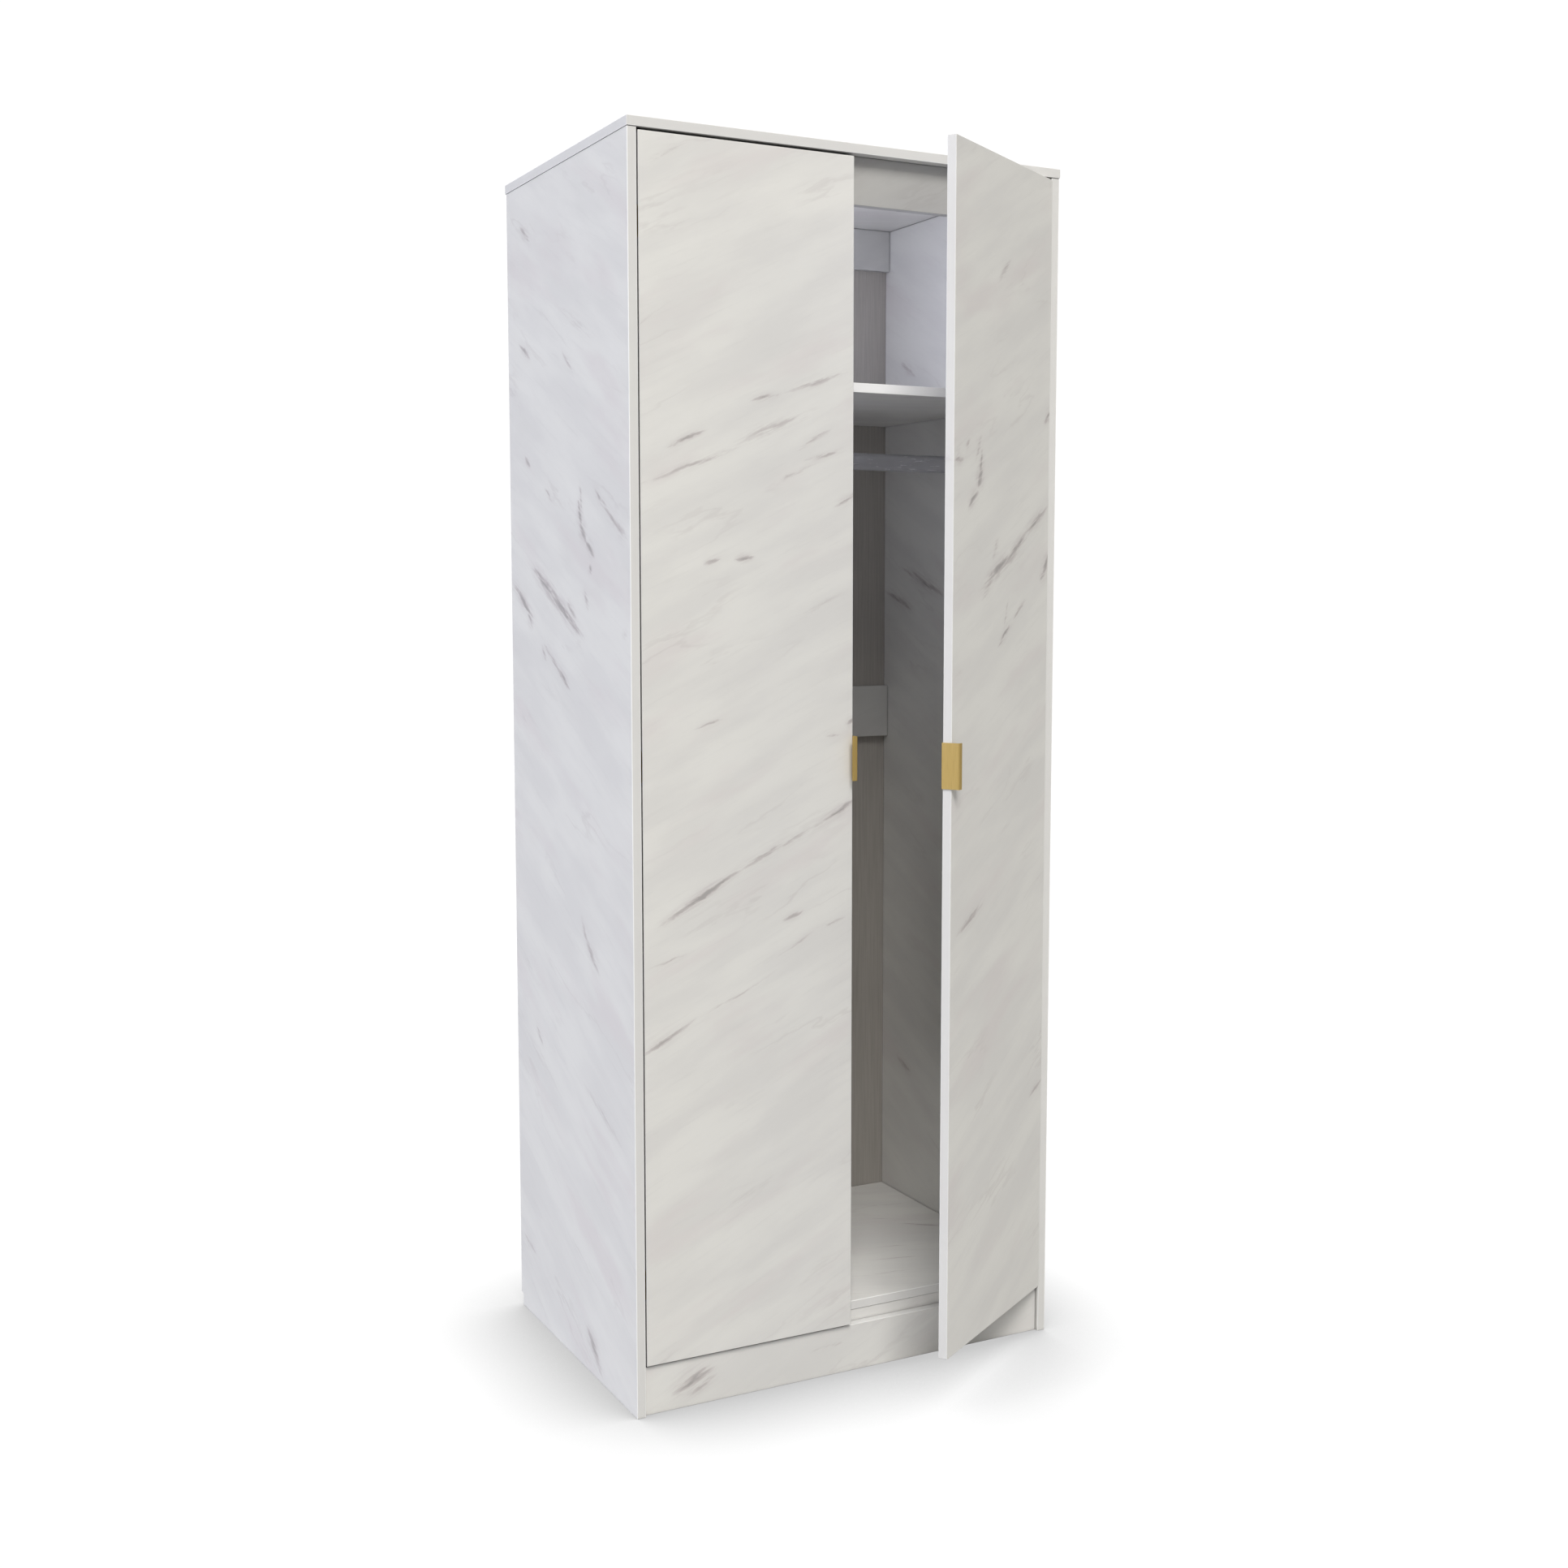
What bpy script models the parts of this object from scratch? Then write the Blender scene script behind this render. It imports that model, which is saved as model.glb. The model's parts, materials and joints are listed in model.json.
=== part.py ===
"""Two-door wardrobe, 1.97 m tall, in laminated chipboard with inset doors.

Metres, +Z up.  +X runs to the right of someone facing the doors and +Y runs
into the wardrobe.  The origin lies on the floor, in the middle of the
plinth's bottom edge.  The left door is shut and the right door stands ajar.
"""

import math

import bmesh
import bpy
from mathutils import Vector

# Overall sizes, over the side panels and from the doors to the back sheet.
WIDTH = 0.766
DEPTH = 0.540
HEIGHT = 1.970

# Board stock and the small gap left between pieces that touch.
BOARD = 0.015
BACK_SHEET = 0.003
TOUCH = 0.0003
SLIP = 0.00015

# Levels and set-backs of the fixed boards.
TOP_SIDE_OVERHANG = 0.001
TOP_FRONT_OVERHANG = 0.0015
PLINTH_HEIGHT = 0.078
PLINTH_SETBACK = 0.0065
FLOOR_TOP = 0.1125
UPPER_SPACE = 0.3475
FLOOR_DOOR_GAP = 0.005
SHELF_DOOR_GAP = 0.002
TOP_RAIL_HEIGHT = 0.074
MID_RAIL_LEVELS = (1.0022, 1.0990)
REAR_PLINTH_INSET = 0.016
NOTCH_DEPTH = 0.010
NOTCH_HEIGHT = 0.022
BACK_SHEET_CLEAR = 0.002

# Doors.
DOOR_SIDE_GAP = 0.0022
DOOR_CENTRE_GAP = 0.0068
DOOR_TOP_GAP = 0.0042
DOOR_PLINTH_GAP = 0.0034
DOOR_AJAR = math.radians(31.85)
DOOR_TRAVEL = math.radians(100.0)

# Hinge axis, measured from the door's outer front arris at the hinge side.
AXIS_OUT = 0.005
AXIS_IN = 0.003

# Concealed hinges: two mortised leaves joined by a curved link.
HINGE_ROWS = ("bottom", "middle", "top")
HINGE_END_DISTANCE = 0.130
LINK_RADIUS = 0.008
LINK_THICKNESS = 0.002
LINK_HEIGHT = 0.0134
LINK_OVERLAP = math.radians(3.0)
LEAF_HEIGHT = 0.050
LEAF_AHEAD = 0.0017
LEAF_RIM = 0.0014
LEAF_FLOOR = 0.0022

# Folded edge pulls.
HANDLE_SHEET = 0.0015
HANDLE_BEND_RADIUS = 0.00125
HANDLE_BEND_STEPS = 3
HANDLE_HEIGHT = 0.071
HANDLE_CENTRE = 1.0155
HANDLE_REACH = 0.014
HANDLE_LIP = 0.0093
HANDLE_FLANGE = 0.022
HANDLE_SCREW_SPACING = 0.040
HANDLE_SCREW_INSET = 0.013

# Screws used for the pulls and the rail sockets.
SCREW_HEAD_RADIUS = 0.0035
SCREW_CROWN_RADIUS = 0.0025
SCREW_HEAD_HEIGHT = 0.0012
SCREW_RIM_HEIGHT = 0.0005
SCREW_SHANK_RADIUS = 0.0015
SCREW_LENGTH = 0.011
SCREW_POINT_LENGTH = 0.002

# Hanging rail, an oval tube lying across the wardrobe, and its end sockets.
RAIL_DROP = 0.0875
RAIL_TALL = 0.030
RAIL_WIDE = 0.015
RAIL_WALL = 0.0012
SOCKET_PLATE = 0.002
SOCKET_COLLAR_LENGTH = 0.012
SOCKET_COLLAR_WALL = 0.002
SOCKET_SIDE_RIM = 0.0022
SOCKET_END_RIM = 0.004
SOCKET_SCREW_GAP = 0.0037

# Dowels and bumpers.
DOWEL_RADIUS = 0.004
DOWEL_SHORT_END = 0.009
DOWEL_LONG_END = 0.020
DOWEL_END_CLEAR = 0.0005
DOWEL_INSET = 0.060
BUMPER_RADIUS = 0.005
BUMPER_CLEAR = 0.00025
BUMPER_INSET = 0.030
BUMPER_DROP = 0.036

# How finely round shapes are divided, and how closely loose points are joined.
ARC_STEP = math.radians(20.0)
ROUND_SIDES = 16
SMOOTH_ANGLE = math.radians(35.0)
WELD = 0.00001

# How far a cutter runs past the face that it enters.
CUT_PAST = 0.001
CHANNEL_PAST = math.radians(20.0)

# Places worked out from the sizes above.
HALF = WIDTH / 2
INNER = HALF - BOARD
FRONT = -(PLINTH_SETBACK + BOARD / 2)
BACK = FRONT + DEPTH
BOARD_BACK = BACK - BACK_SHEET - TOUCH
CEILING = HEIGHT - BOARD
SIDE_TOP = CEILING - TOUCH
FLOOR_UNDER = FLOOR_TOP - BOARD
SHELF_TOP = CEILING - UPPER_SPACE
SHELF_UNDER = SHELF_TOP - BOARD
DOOR_BOTTOM = PLINTH_HEIGHT + DOOR_PLINTH_GAP
DOOR_TOP = CEILING - DOOR_TOP_GAP
DOOR_HEIGHT = DOOR_TOP - DOOR_BOTTOM
DOOR_EDGE = INNER - DOOR_SIDE_GAP
DOOR_FREE = DOOR_CENTRE_GAP / 2
DOOR_INSIDE = FRONT + BOARD
AXIS_X = DOOR_EDGE + AXIS_OUT
AXIS_Y = FRONT + AXIS_IN
INNER_FRONT = DOOR_INSIDE + SHELF_DOOR_GAP
BUMPER_THICKNESS = SHELF_DOOR_GAP - SLIP - BUMPER_CLEAR
LINK_REACH = LINK_RADIUS + LINK_THICKNESS / 2 + TOUCH
LEAF_REAR = LINK_REACH + LEAF_RIM
LEAF_WIDTH = LEAF_AHEAD + LEAF_REAR
LEAF_Y = AXIS_Y + (LEAF_REAR - LEAF_AHEAD) / 2
RAIL_Y = (INNER_FRONT + BOARD_BACK) / 2
RAIL_CENTRE_Z = SHELF_UNDER - RAIL_DROP
COLLAR_EXTRA = 2 * (TOUCH + SOCKET_COLLAR_WALL)
COLLAR_TALL = RAIL_TALL + COLLAR_EXTRA
COLLAR_WIDE = RAIL_WIDE + COLLAR_EXTRA
SOCKET_SCREW_OFFSET = COLLAR_TALL / 2 + SOCKET_SCREW_GAP + SCREW_HEAD_RADIUS
SOCKET_TALL = 2 * (SOCKET_SCREW_OFFSET + SCREW_HEAD_RADIUS + SOCKET_END_RIM)
SOCKET_WIDE = COLLAR_WIDE + 2 * SOCKET_SIDE_RIM

# Finishes: colour as display values, roughness, metallic.
MARBLE = ((0.86, 0.86, 0.85), 0.32, 0.0)
HARDBOARD = ((0.46, 0.43, 0.40), 0.75, 0.0)
GOLD = ((0.75, 0.63, 0.36), 0.30, 1.0)
CHROME = ((0.78, 0.78, 0.80), 0.14, 1.0)
SATIN_BRASS = ((0.70, 0.62, 0.42), 0.38, 1.0)
ZINC = ((0.66, 0.67, 0.69), 0.35, 1.0)
BEECH = ((0.80, 0.66, 0.46), 0.65, 0.0)
CLEAR_RUBBER = ((0.82, 0.82, 0.80), 0.45, 0.0)

SIDES = (("left", -1), ("right", 1))

# Turns a flat shape so that it stands across the wardrobe, facing +X.
ACROSS = (math.radians(90.0), 0.0, math.radians(90.0))


def clear_scene():
    for thing in list(bpy.data.objects):
        bpy.data.objects.remove(thing, do_unlink=True)


def make_collections():
    parts = bpy.data.collections.new("two_door_wardrobe")
    cutters = bpy.data.collections.new("cutters")
    cutters.hide_render = True
    bpy.context.scene.collection.children.link(parts)
    bpy.context.scene.collection.children.link(cutters)
    return parts, cutters


def linear(value):
    """Display value to linear light."""
    if value <= 0.04045:
        return value / 12.92
    return ((value + 0.055) / 1.055) ** 2.4


def finish(name, look):
    """A material of the piece's own."""
    colour, roughness, metallic = look
    material = bpy.data.materials.new(name + "_finish")
    material.use_nodes = True
    shader = material.node_tree.nodes["Principled BSDF"]
    shader.inputs["Base Color"].default_value = [linear(c) for c in colour] + [1.0]
    shader.inputs["Roughness"].default_value = roughness
    shader.inputs["Metallic"].default_value = metallic
    return material


def place(thing, collection, centre, turn, parent):
    """Set a thing down; the centre is where it lies with the doors shut."""
    collection.objects.link(thing)
    thing.location = Vector(centre)
    thing.rotation_euler = turn
    if parent is not None:
        thing.parent = parent
        thing.location = Vector(centre) - parent.location


def add_part(name, mesh, look, centre, turn=(0.0, 0.0, 0.0), parent=None):
    thing = bpy.data.objects.new(name, mesh)
    mesh.materials.append(finish(name, look))
    place(thing, PARTS, centre, turn, parent)
    return thing


def combine(thing, operation, name, mesh, centre, turn):
    """Cut a shape out of a piece or join it on, with a Boolean."""
    tool = bpy.data.objects.new(name, mesh)
    tool.display_type = "WIRE"
    tool.hide_render = True
    place(tool, CUTTERS, centre, turn, thing.parent)
    boolean = thing.modifiers.new(name, "BOOLEAN")
    boolean.operation = operation
    boolean.solver = "EXACT"
    boolean.object = tool


def cut(thing, name, mesh, centre, turn=(0.0, 0.0, 0.0)):
    combine(thing, "DIFFERENCE", name, mesh, centre, turn)


def join(thing, name, mesh, centre, turn=(0.0, 0.0, 0.0)):
    combine(thing, "UNION", name, mesh, centre, turn)


def facing(direction):
    """The rotation that points +Z along a direction."""
    return Vector((0, 0, 1)).rotation_difference(Vector(direction)).to_euler()


def mesh_from(name, bm):
    mesh = bpy.data.meshes.new(name)
    bm.to_mesh(mesh)
    bm.free()
    return mesh


def smooth(mesh):
    mesh.shade_smooth()
    mesh.set_sharp_from_angle(angle=SMOOTH_ANGLE)
    return mesh


def block(name, x_size, y_size, z_size):
    bm = bmesh.new()
    bmesh.ops.create_cube(bm, size=1.0)
    bmesh.ops.scale(bm, vec=(x_size, y_size, z_size), verts=bm.verts)
    return mesh_from(name, bm)


def rod(name, radius, length):
    bm = bmesh.new()
    bmesh.ops.create_cone(
        bm, cap_ends=True, segments=ROUND_SIDES, radius1=radius, radius2=radius, depth=length
    )
    return smooth(mesh_from(name, bm))


def flat_shape(name, outlines, thickness):
    """A solid from closed outlines in one plane; a second outline is a hole."""
    curve = bpy.data.curves.new(name, "CURVE")
    curve.dimensions = "2D"
    curve.fill_mode = "BOTH"
    curve.extrude = thickness / 2
    for outline in outlines:
        spline = curve.splines.new("POLY")
        spline.points.add(len(outline) - 1)
        spline.use_cyclic_u = True
        for point, (u, v) in zip(spline.points, outline):
            point.co = (u, v, 0.0, 1.0)
    drawing = bpy.data.objects.new(name, curve)
    CUTTERS.objects.link(drawing)
    evaluated = drawing.evaluated_get(bpy.context.evaluated_depsgraph_get())
    mesh = bpy.data.meshes.new_from_object(evaluated)
    bpy.data.objects.remove(drawing, do_unlink=True)
    bm = bmesh.new()
    bm.from_mesh(mesh)
    bmesh.ops.remove_doubles(bm, verts=bm.verts, dist=WELD)
    bmesh.ops.recalc_face_normals(bm, faces=bm.faces)
    bm.to_mesh(mesh)
    bm.free()
    return mesh


def arc(centre, radius, start, end):
    """Points along an arc, ends included."""
    steps = max(2, math.ceil(abs(end - start) / ARC_STEP))
    angles = [start + (end - start) * i / steps for i in range(steps + 1)]
    return [(centre[0] + radius * math.cos(a), centre[1] + radius * math.sin(a)) for a in angles]


def stadium(width, height):
    """An upright slot shape with half-round ends."""
    radius = width / 2
    reach = height / 2 - radius
    upper = arc((0.0, reach), radius, 0.0, math.pi)
    lower = arc((0.0, -reach), radius, math.pi, 2 * math.pi)
    return upper + lower


def ring_sector(inner, outer, start, end):
    return arc((0.0, 0.0), outer, start, end) + arc((0.0, 0.0), inner, end, start)


def oval_tube(name, tall, wide, wall, length):
    bore_outline = stadium(wide - 2 * wall, tall - 2 * wall)
    return smooth(flat_shape(name, (stadium(wide, tall), bore_outline), length))


def add_board(name, x_span, y_span, z_span, look=MARBLE):
    """A plain board given by where it starts and ends along each direction."""
    spans = (x_span, y_span, z_span)
    sizes = [high - low for low, high in spans]
    centre = [(high + low) / 2 for low, high in spans]
    return add_part(name, block(name, *sizes), look, centre)


def add_side_panels():
    """Two uprights, each notched at the bottom rear to clear a skirting board."""
    outline = (
        (FRONT, 0.0),
        (BOARD_BACK - NOTCH_DEPTH, 0.0),
        (BOARD_BACK - NOTCH_DEPTH, NOTCH_HEIGHT),
        (BOARD_BACK, NOTCH_HEIGHT),
        (BOARD_BACK, SIDE_TOP),
        (FRONT, SIDE_TOP),
    )
    panels = {}
    for side, sign in SIDES:
        name = side + "_side_panel"
        centre = (sign * (HALF - BOARD / 2), 0.0, 0.0)
        panels[side] = add_part(name, flat_shape(name, (outline,), BOARD), MARBLE, centre, ACROSS)
    return panels


def add_fixed_boards():
    """Everything flat that stays put between and around the uprights."""
    across = (-INNER + TOUCH, INNER - TOUCH)
    over = HALF + TOP_SIDE_OVERHANG
    rear = BOARD_BACK - TOUCH
    plinth_front = FRONT + PLINTH_SETBACK
    behind_plinth = plinth_front + BOARD + TOUCH
    rear_plinth = BOARD_BACK - REAR_PLINTH_INSET
    under_floor = (0.0, FLOOR_UNDER - TOUCH)
    top_rail = (SIDE_TOP - TOP_RAIL_HEIGHT, SIDE_TOP)
    top = add_board("top_panel", (-over, over), (FRONT - TOP_FRONT_OVERHANG, BACK), (CEILING, HEIGHT))
    shelf = add_board("shelf", across, (INNER_FRONT, rear), (SHELF_UNDER, SHELF_TOP))
    add_board("floor_panel", across, (DOOR_INSIDE + FLOOR_DOOR_GAP, rear), (FLOOR_UNDER, FLOOR_TOP))
    add_board("plinth_board", across, (plinth_front, plinth_front + BOARD), (0.0, PLINTH_HEIGHT))
    add_board("plinth_front_rail", across, (behind_plinth, behind_plinth + BOARD), under_floor)
    add_board("plinth_rear_rail", across, (rear_plinth - BOARD, rear_plinth), under_floor)
    add_board("top_front_rail", across, (INNER_FRONT, INNER_FRONT + BOARD), top_rail)
    add_board("top_back_rail", across, (rear - BOARD, rear), top_rail)
    add_board("mid_back_rail", across, (rear - BOARD, rear), MID_RAIL_LEVELS)
    return top, shelf


def add_back_sheets():
    """Hardboard nailed over the rear edges, in two sheets that meet on the middle rail."""
    across = (-HALF + BACK_SHEET_CLEAR, HALF - BACK_SHEET_CLEAR)
    deep = (BACK - BACK_SHEET, BACK)
    joint = sum(MID_RAIL_LEVELS) / 2
    bottom = NOTCH_HEIGHT + BACK_SHEET_CLEAR
    add_board("upper_back_sheet", across, deep, (joint + TOUCH, SIDE_TOP), HARDBOARD)
    add_board("lower_back_sheet", across, deep, (bottom, joint - TOUCH), HARDBOARD)


def bore(thing, name, radius, depth, mouth, inward):
    """A blind round hole running inward from its mouth."""
    inward = Vector(inward)
    middle = Vector(mouth) + inward * (depth - CUT_PAST) / 2
    cut(thing, name, rod(name, radius, depth + CUT_PAST), middle, facing(inward))


def dowel_rows():
    return (("front", FRONT + DOWEL_INSET), ("rear", BOARD_BACK - DOWEL_INSET))


def add_dowel(name, short_host, long_host, mouth, toward_short):
    """A dowel across a joint: its short end in one board, its long end in the other."""
    toward = Vector(toward_short)
    middle = Vector(mouth) + toward * (DOWEL_SHORT_END - DOWEL_LONG_END) / 2
    mesh = rod(name, DOWEL_RADIUS, DOWEL_SHORT_END + DOWEL_LONG_END)
    add_part(name, mesh, BEECH, middle, facing(toward))
    hole = DOWEL_RADIUS + SLIP
    bore(short_host, name + "_short_hole", hole, DOWEL_SHORT_END + DOWEL_END_CLEAR, mouth, toward)
    bore(long_host, name + "_long_hole", hole, DOWEL_LONG_END + DOWEL_END_CLEAR, mouth, -toward)


def add_shelf_dowels(shelf, panels):
    """Four dowels carry the shelf in the uprights."""
    level = (SHELF_UNDER + SHELF_TOP) / 2
    for side, sign in SIDES:
        for row, y in dowel_rows():
            name = "shelf_dowel_" + side + "_" + row
            add_dowel(name, panels[side], shelf, (sign * INNER, y, level), (sign, 0, 0))


def add_top_dowels(top, panels):
    """Four upright dowels hold the top panel on the uprights."""
    for side, sign in SIDES:
        for row, y in dowel_rows():
            name = "top_dowel_" + side + "_" + row
            add_dowel(name, top, panels[side], (sign * (HALF - BOARD / 2), y, CEILING), (0, 0, 1))


def add_hanging_rail(panels):
    """An oval tube held at each end in a collared socket screwed to the upright."""
    tube_end = INNER - TOUCH - SOCKET_PLATE - TOUCH
    tube = oval_tube("hanging_rail", RAIL_TALL, RAIL_WIDE, RAIL_WALL, 2 * tube_end)
    add_part("hanging_rail", tube, CHROME, (0.0, RAIL_Y, RAIL_CENTRE_Z), ACROSS)
    for side, sign in SIDES:
        add_rail_socket(side, sign, panels[side])


def add_rail_socket(side, sign, panel):
    """A slot-shaped plate with an oval collar standing off it."""
    name = side + "_rail_socket"
    middle = sign * (INNER - TOUCH - SOCKET_PLATE / 2)
    plate = smooth(flat_shape(name, (stadium(SOCKET_WIDE, SOCKET_TALL),), SOCKET_PLATE))
    socket = add_part(name, plate, CHROME, (middle, RAIL_Y, RAIL_CENTRE_Z), ACROSS)
    length = SOCKET_PLATE / 2 + SOCKET_COLLAR_LENGTH
    collar = oval_tube(name + "_collar", COLLAR_TALL, COLLAR_WIDE, SOCKET_COLLAR_WALL, length)
    join(socket, name + "_collar", collar, (middle - sign * length / 2, RAIL_Y, RAIL_CENTRE_Z), ACROSS)
    for row, direction in (("upper", 1), ("lower", -1)):
        z = RAIL_CENTRE_Z + direction * SOCKET_SCREW_OFFSET
        seat = (sign * (INNER - TOUCH - SOCKET_PLATE), RAIL_Y, z)
        screw_on(side + "_socket_screw_" + row, ZINC, seat, (-sign, 0, 0), socket, SOCKET_PLATE, panel)


def screw_mesh(name):
    """Half the outline of a pan-headed screw, seated on the origin, head up."""
    profile = (
        (0.0, SCREW_HEAD_HEIGHT),
        (SCREW_CROWN_RADIUS, SCREW_HEAD_HEIGHT),
        (SCREW_HEAD_RADIUS, SCREW_RIM_HEIGHT),
        (SCREW_HEAD_RADIUS, 0.0),
        (SCREW_SHANK_RADIUS, 0.0),
        (SCREW_SHANK_RADIUS, SCREW_POINT_LENGTH - SCREW_LENGTH),
        (0.0, -SCREW_LENGTH),
    )
    bm = bmesh.new()
    points = [bm.verts.new((radius, 0.0, height)) for radius, height in profile]
    for upper, lower in zip(points, points[1:]):
        bm.edges.new((upper, lower))
    return mesh_from(name, bm)


def add_screw(name, look, seat, direction, parent):
    """A screw turned from its profile, its head pointing along the direction."""
    screw = add_part(name, screw_mesh(name), look, seat, facing(direction), parent)
    turning = screw.modifiers.new("turning", "SCREW")
    turning.steps = ROUND_SIDES
    turning.render_steps = ROUND_SIDES
    turning.use_merge_vertices = True
    turning.merge_threshold = WELD
    turning.use_smooth_shade = True


def screw_on(name, look, seat, outward, plate, plate_thickness, board):
    """Screw a plate to a board: the screw, its hole in the plate and its hole in the board."""
    outward = Vector(outward)
    seat = Vector(seat)
    parent = plate.parent
    add_screw(name, look, seat + outward * SLIP, outward, parent)
    hole = SCREW_SHANK_RADIUS + SLIP
    through = rod(name + "_plate_hole", hole, plate_thickness + 2 * CUT_PAST)
    cut(plate, name + "_plate_hole", through, seat - outward * plate_thickness / 2, facing(outward))
    bore(board, name + "_board_hole", hole, SCREW_LENGTH, seat - outward * plate_thickness, -outward)


def add_axis(name, side_sign, turned):
    """An empty standing on a door's hinge axis, turned as far as the door is open."""
    axis = bpy.data.objects.new(name, None)
    place(axis, PARTS, (side_sign * AXIS_X, AXIS_Y, DOOR_BOTTOM), (0.0, 0.0, side_sign * turned), None)
    return axis


def add_door(side, sign, axis):
    name = side + "_door"
    centre = (sign * (DOOR_EDGE + DOOR_FREE) / 2, FRONT + BOARD / 2, DOOR_BOTTOM + DOOR_HEIGHT / 2)
    slab = block(name, DOOR_EDGE - DOOR_FREE, BOARD, DOOR_HEIGHT)
    return add_part(name, slab, MARBLE, centre, parent=axis)


def folded_surface(name, path, height):
    """An open upright surface along a path of straight runs."""
    bm = bmesh.new()
    foot = [bm.verts.new((x, y, -height / 2)) for x, y in path]
    edges = [bm.edges.new(pair) for pair in zip(foot, foot[1:])]
    raised = bmesh.ops.extrude_edge_only(bm, edges=edges)["geom"]
    top = [corner for corner in raised if isinstance(corner, bmesh.types.BMVert)]
    bmesh.ops.translate(bm, verts=top, vec=(0.0, 0.0, height))
    return smooth(mesh_from(name, bm))


def add_handle(side, sign, door):
    """A strip folded round the door's free edge: flange inside, web, finger lip outside."""
    half = HANDLE_SHEET / 2
    web = DOOR_FREE - TOUCH - half
    inside = DOOR_INSIDE + TOUCH + half
    outside = FRONT - HANDLE_REACH + half
    path = (
        (sign * (DOOR_FREE + HANDLE_FLANGE), inside),
        (sign * web, inside),
        (sign * web, outside),
        (sign * (web - half + HANDLE_LIP), outside),
    )
    name = side + "_handle"
    centre = (0.0, 0.0, HANDLE_CENTRE)
    handle = add_part(name, folded_surface(name, path, HANDLE_HEIGHT), GOLD, centre, parent=door.parent)
    folds = handle.modifiers.new("folds", "BEVEL")
    folds.width = HANDLE_BEND_RADIUS
    folds.segments = HANDLE_BEND_STEPS
    sheet = handle.modifiers.new("sheet", "SOLIDIFY")
    sheet.thickness = HANDLE_SHEET
    sheet.offset = 0.0
    sheet.use_even_offset = True
    for row, direction in (("upper", 1), ("lower", -1)):
        x = sign * (DOOR_FREE + HANDLE_SCREW_INSET)
        z = HANDLE_CENTRE + direction * HANDLE_SCREW_SPACING / 2
        seat = (x, inside + half, z)
        screw_on(side + "_handle_screw_" + row, GOLD, seat, (0, 1, 0), handle, HANDLE_SHEET, door)


def hinge_levels():
    """Heights of the hinges on a door, from the bottom one up."""
    low = DOOR_BOTTOM + HINGE_END_DISTANCE
    high = DOOR_TOP - HINGE_END_DISTANCE
    spacing = (high - low) / (len(HINGE_ROWS) - 1)
    return [(row, low + spacing * i) for i, row in enumerate(HINGE_ROWS)]


def sector(sign, margin, start, end):
    """The link's ring sector, widened by a margin, about a left or right hinge axis."""
    half = LINK_THICKNESS / 2 + margin
    outline = ring_sector(LINK_RADIUS - half, LINK_RADIUS + half, start, end)
    return [(sign * u, v) for u, v in outline]


def add_leaf(name, sign, face, inward, depth, level, host, parent):
    """A slot-shaped leaf let into its board so that its face lies flush."""
    place_at = (sign * (face + inward * depth / 2), LEAF_Y, level)
    plate = smooth(flat_shape(name, (stadium(LEAF_WIDTH, LEAF_HEIGHT),), depth))
    leaf = add_part(name, plate, SATIN_BRASS, place_at, ACROSS, parent)
    room = stadium(LEAF_WIDTH + 2 * TOUCH, LEAF_HEIGHT + 2 * TOUCH)
    pocket = flat_shape(name + "_mortise", (room,), depth + 2 * TOUCH)
    cut(host, name + "_mortise", pocket, place_at, ACROSS)
    return leaf


def cut_channel(leaf, sign, level, start, end):
    """The curved slot in a leaf that the link slides through."""
    name = leaf.name + "_channel"
    slot = flat_shape(name, (sector(sign, TOUCH, start, end),), LINK_HEIGHT + 2 * TOUCH)
    cut(leaf, name, slot, (sign * AXIS_X, AXIS_Y, level))


def add_hinge(stem, sign, level, door, panel, link_axis):
    """Two mortised leaves and the curved link between them, which turns half as far as the door."""
    axis_past_side = AXIS_OUT - DOOR_SIDE_GAP
    side_mouth = math.acos(-axis_past_side / LINK_RADIUS)
    door_mouth = math.acos(-AXIS_OUT / LINK_RADIUS)
    start = side_mouth - DOOR_TRAVEL / 2 - LINK_OVERLAP
    end = door_mouth + DOOR_TRAVEL / 2 + LINK_OVERLAP
    door_depth = LINK_REACH - AXIS_OUT + LEAF_FLOOR
    side_depth = LINK_REACH * math.cos(start - LINK_OVERLAP) + axis_past_side + LEAF_FLOOR
    door_leaf = add_leaf(stem + "_door_leaf", sign, DOOR_EDGE, -1, door_depth, level, door, door.parent)
    side_leaf = add_leaf(stem + "_side_leaf", sign, INNER, 1, side_depth, level, panel, None)
    cut_channel(door_leaf, sign, level, door_mouth - CHANNEL_PAST, end + LINK_OVERLAP)
    cut_channel(side_leaf, sign, level, start - LINK_OVERLAP, side_mouth + CHANNEL_PAST)
    link = smooth(flat_shape(stem + "_link", (sector(sign, 0.0, start, end),), LINK_HEIGHT))
    add_part(stem + "_link", link, SATIN_BRASS, (sign * AXIS_X, AXIS_Y, level), parent=link_axis)


def add_bumper(side, sign, axis):
    """A soft disc on the door's inside that meets the top rail."""
    name = side + "_door_bumper"
    y = DOOR_INSIDE + SLIP + BUMPER_THICKNESS / 2
    centre = (sign * (DOOR_FREE + BUMPER_INSET), y, DOOR_TOP - BUMPER_DROP)
    disc = rod(name, BUMPER_RADIUS, BUMPER_THICKNESS)
    add_part(name, disc, CLEAR_RUBBER, centre, facing((0, 1, 0)), axis)


def add_doors(panels):
    openings = {"left": 0.0, "right": DOOR_AJAR}
    for side, sign in SIDES:
        door_axis = add_axis(side + "_door_axis", sign, openings[side])
        link_axis = add_axis(side + "_link_axis", sign, openings[side] / 2)
        door = add_door(side, sign, door_axis)
        add_handle(side, sign, door)
        for row, level in hinge_levels():
            add_hinge(side + "_hinge_" + row, sign, level, door, panels[side], link_axis)
        add_bumper(side, sign, door_axis)


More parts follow.
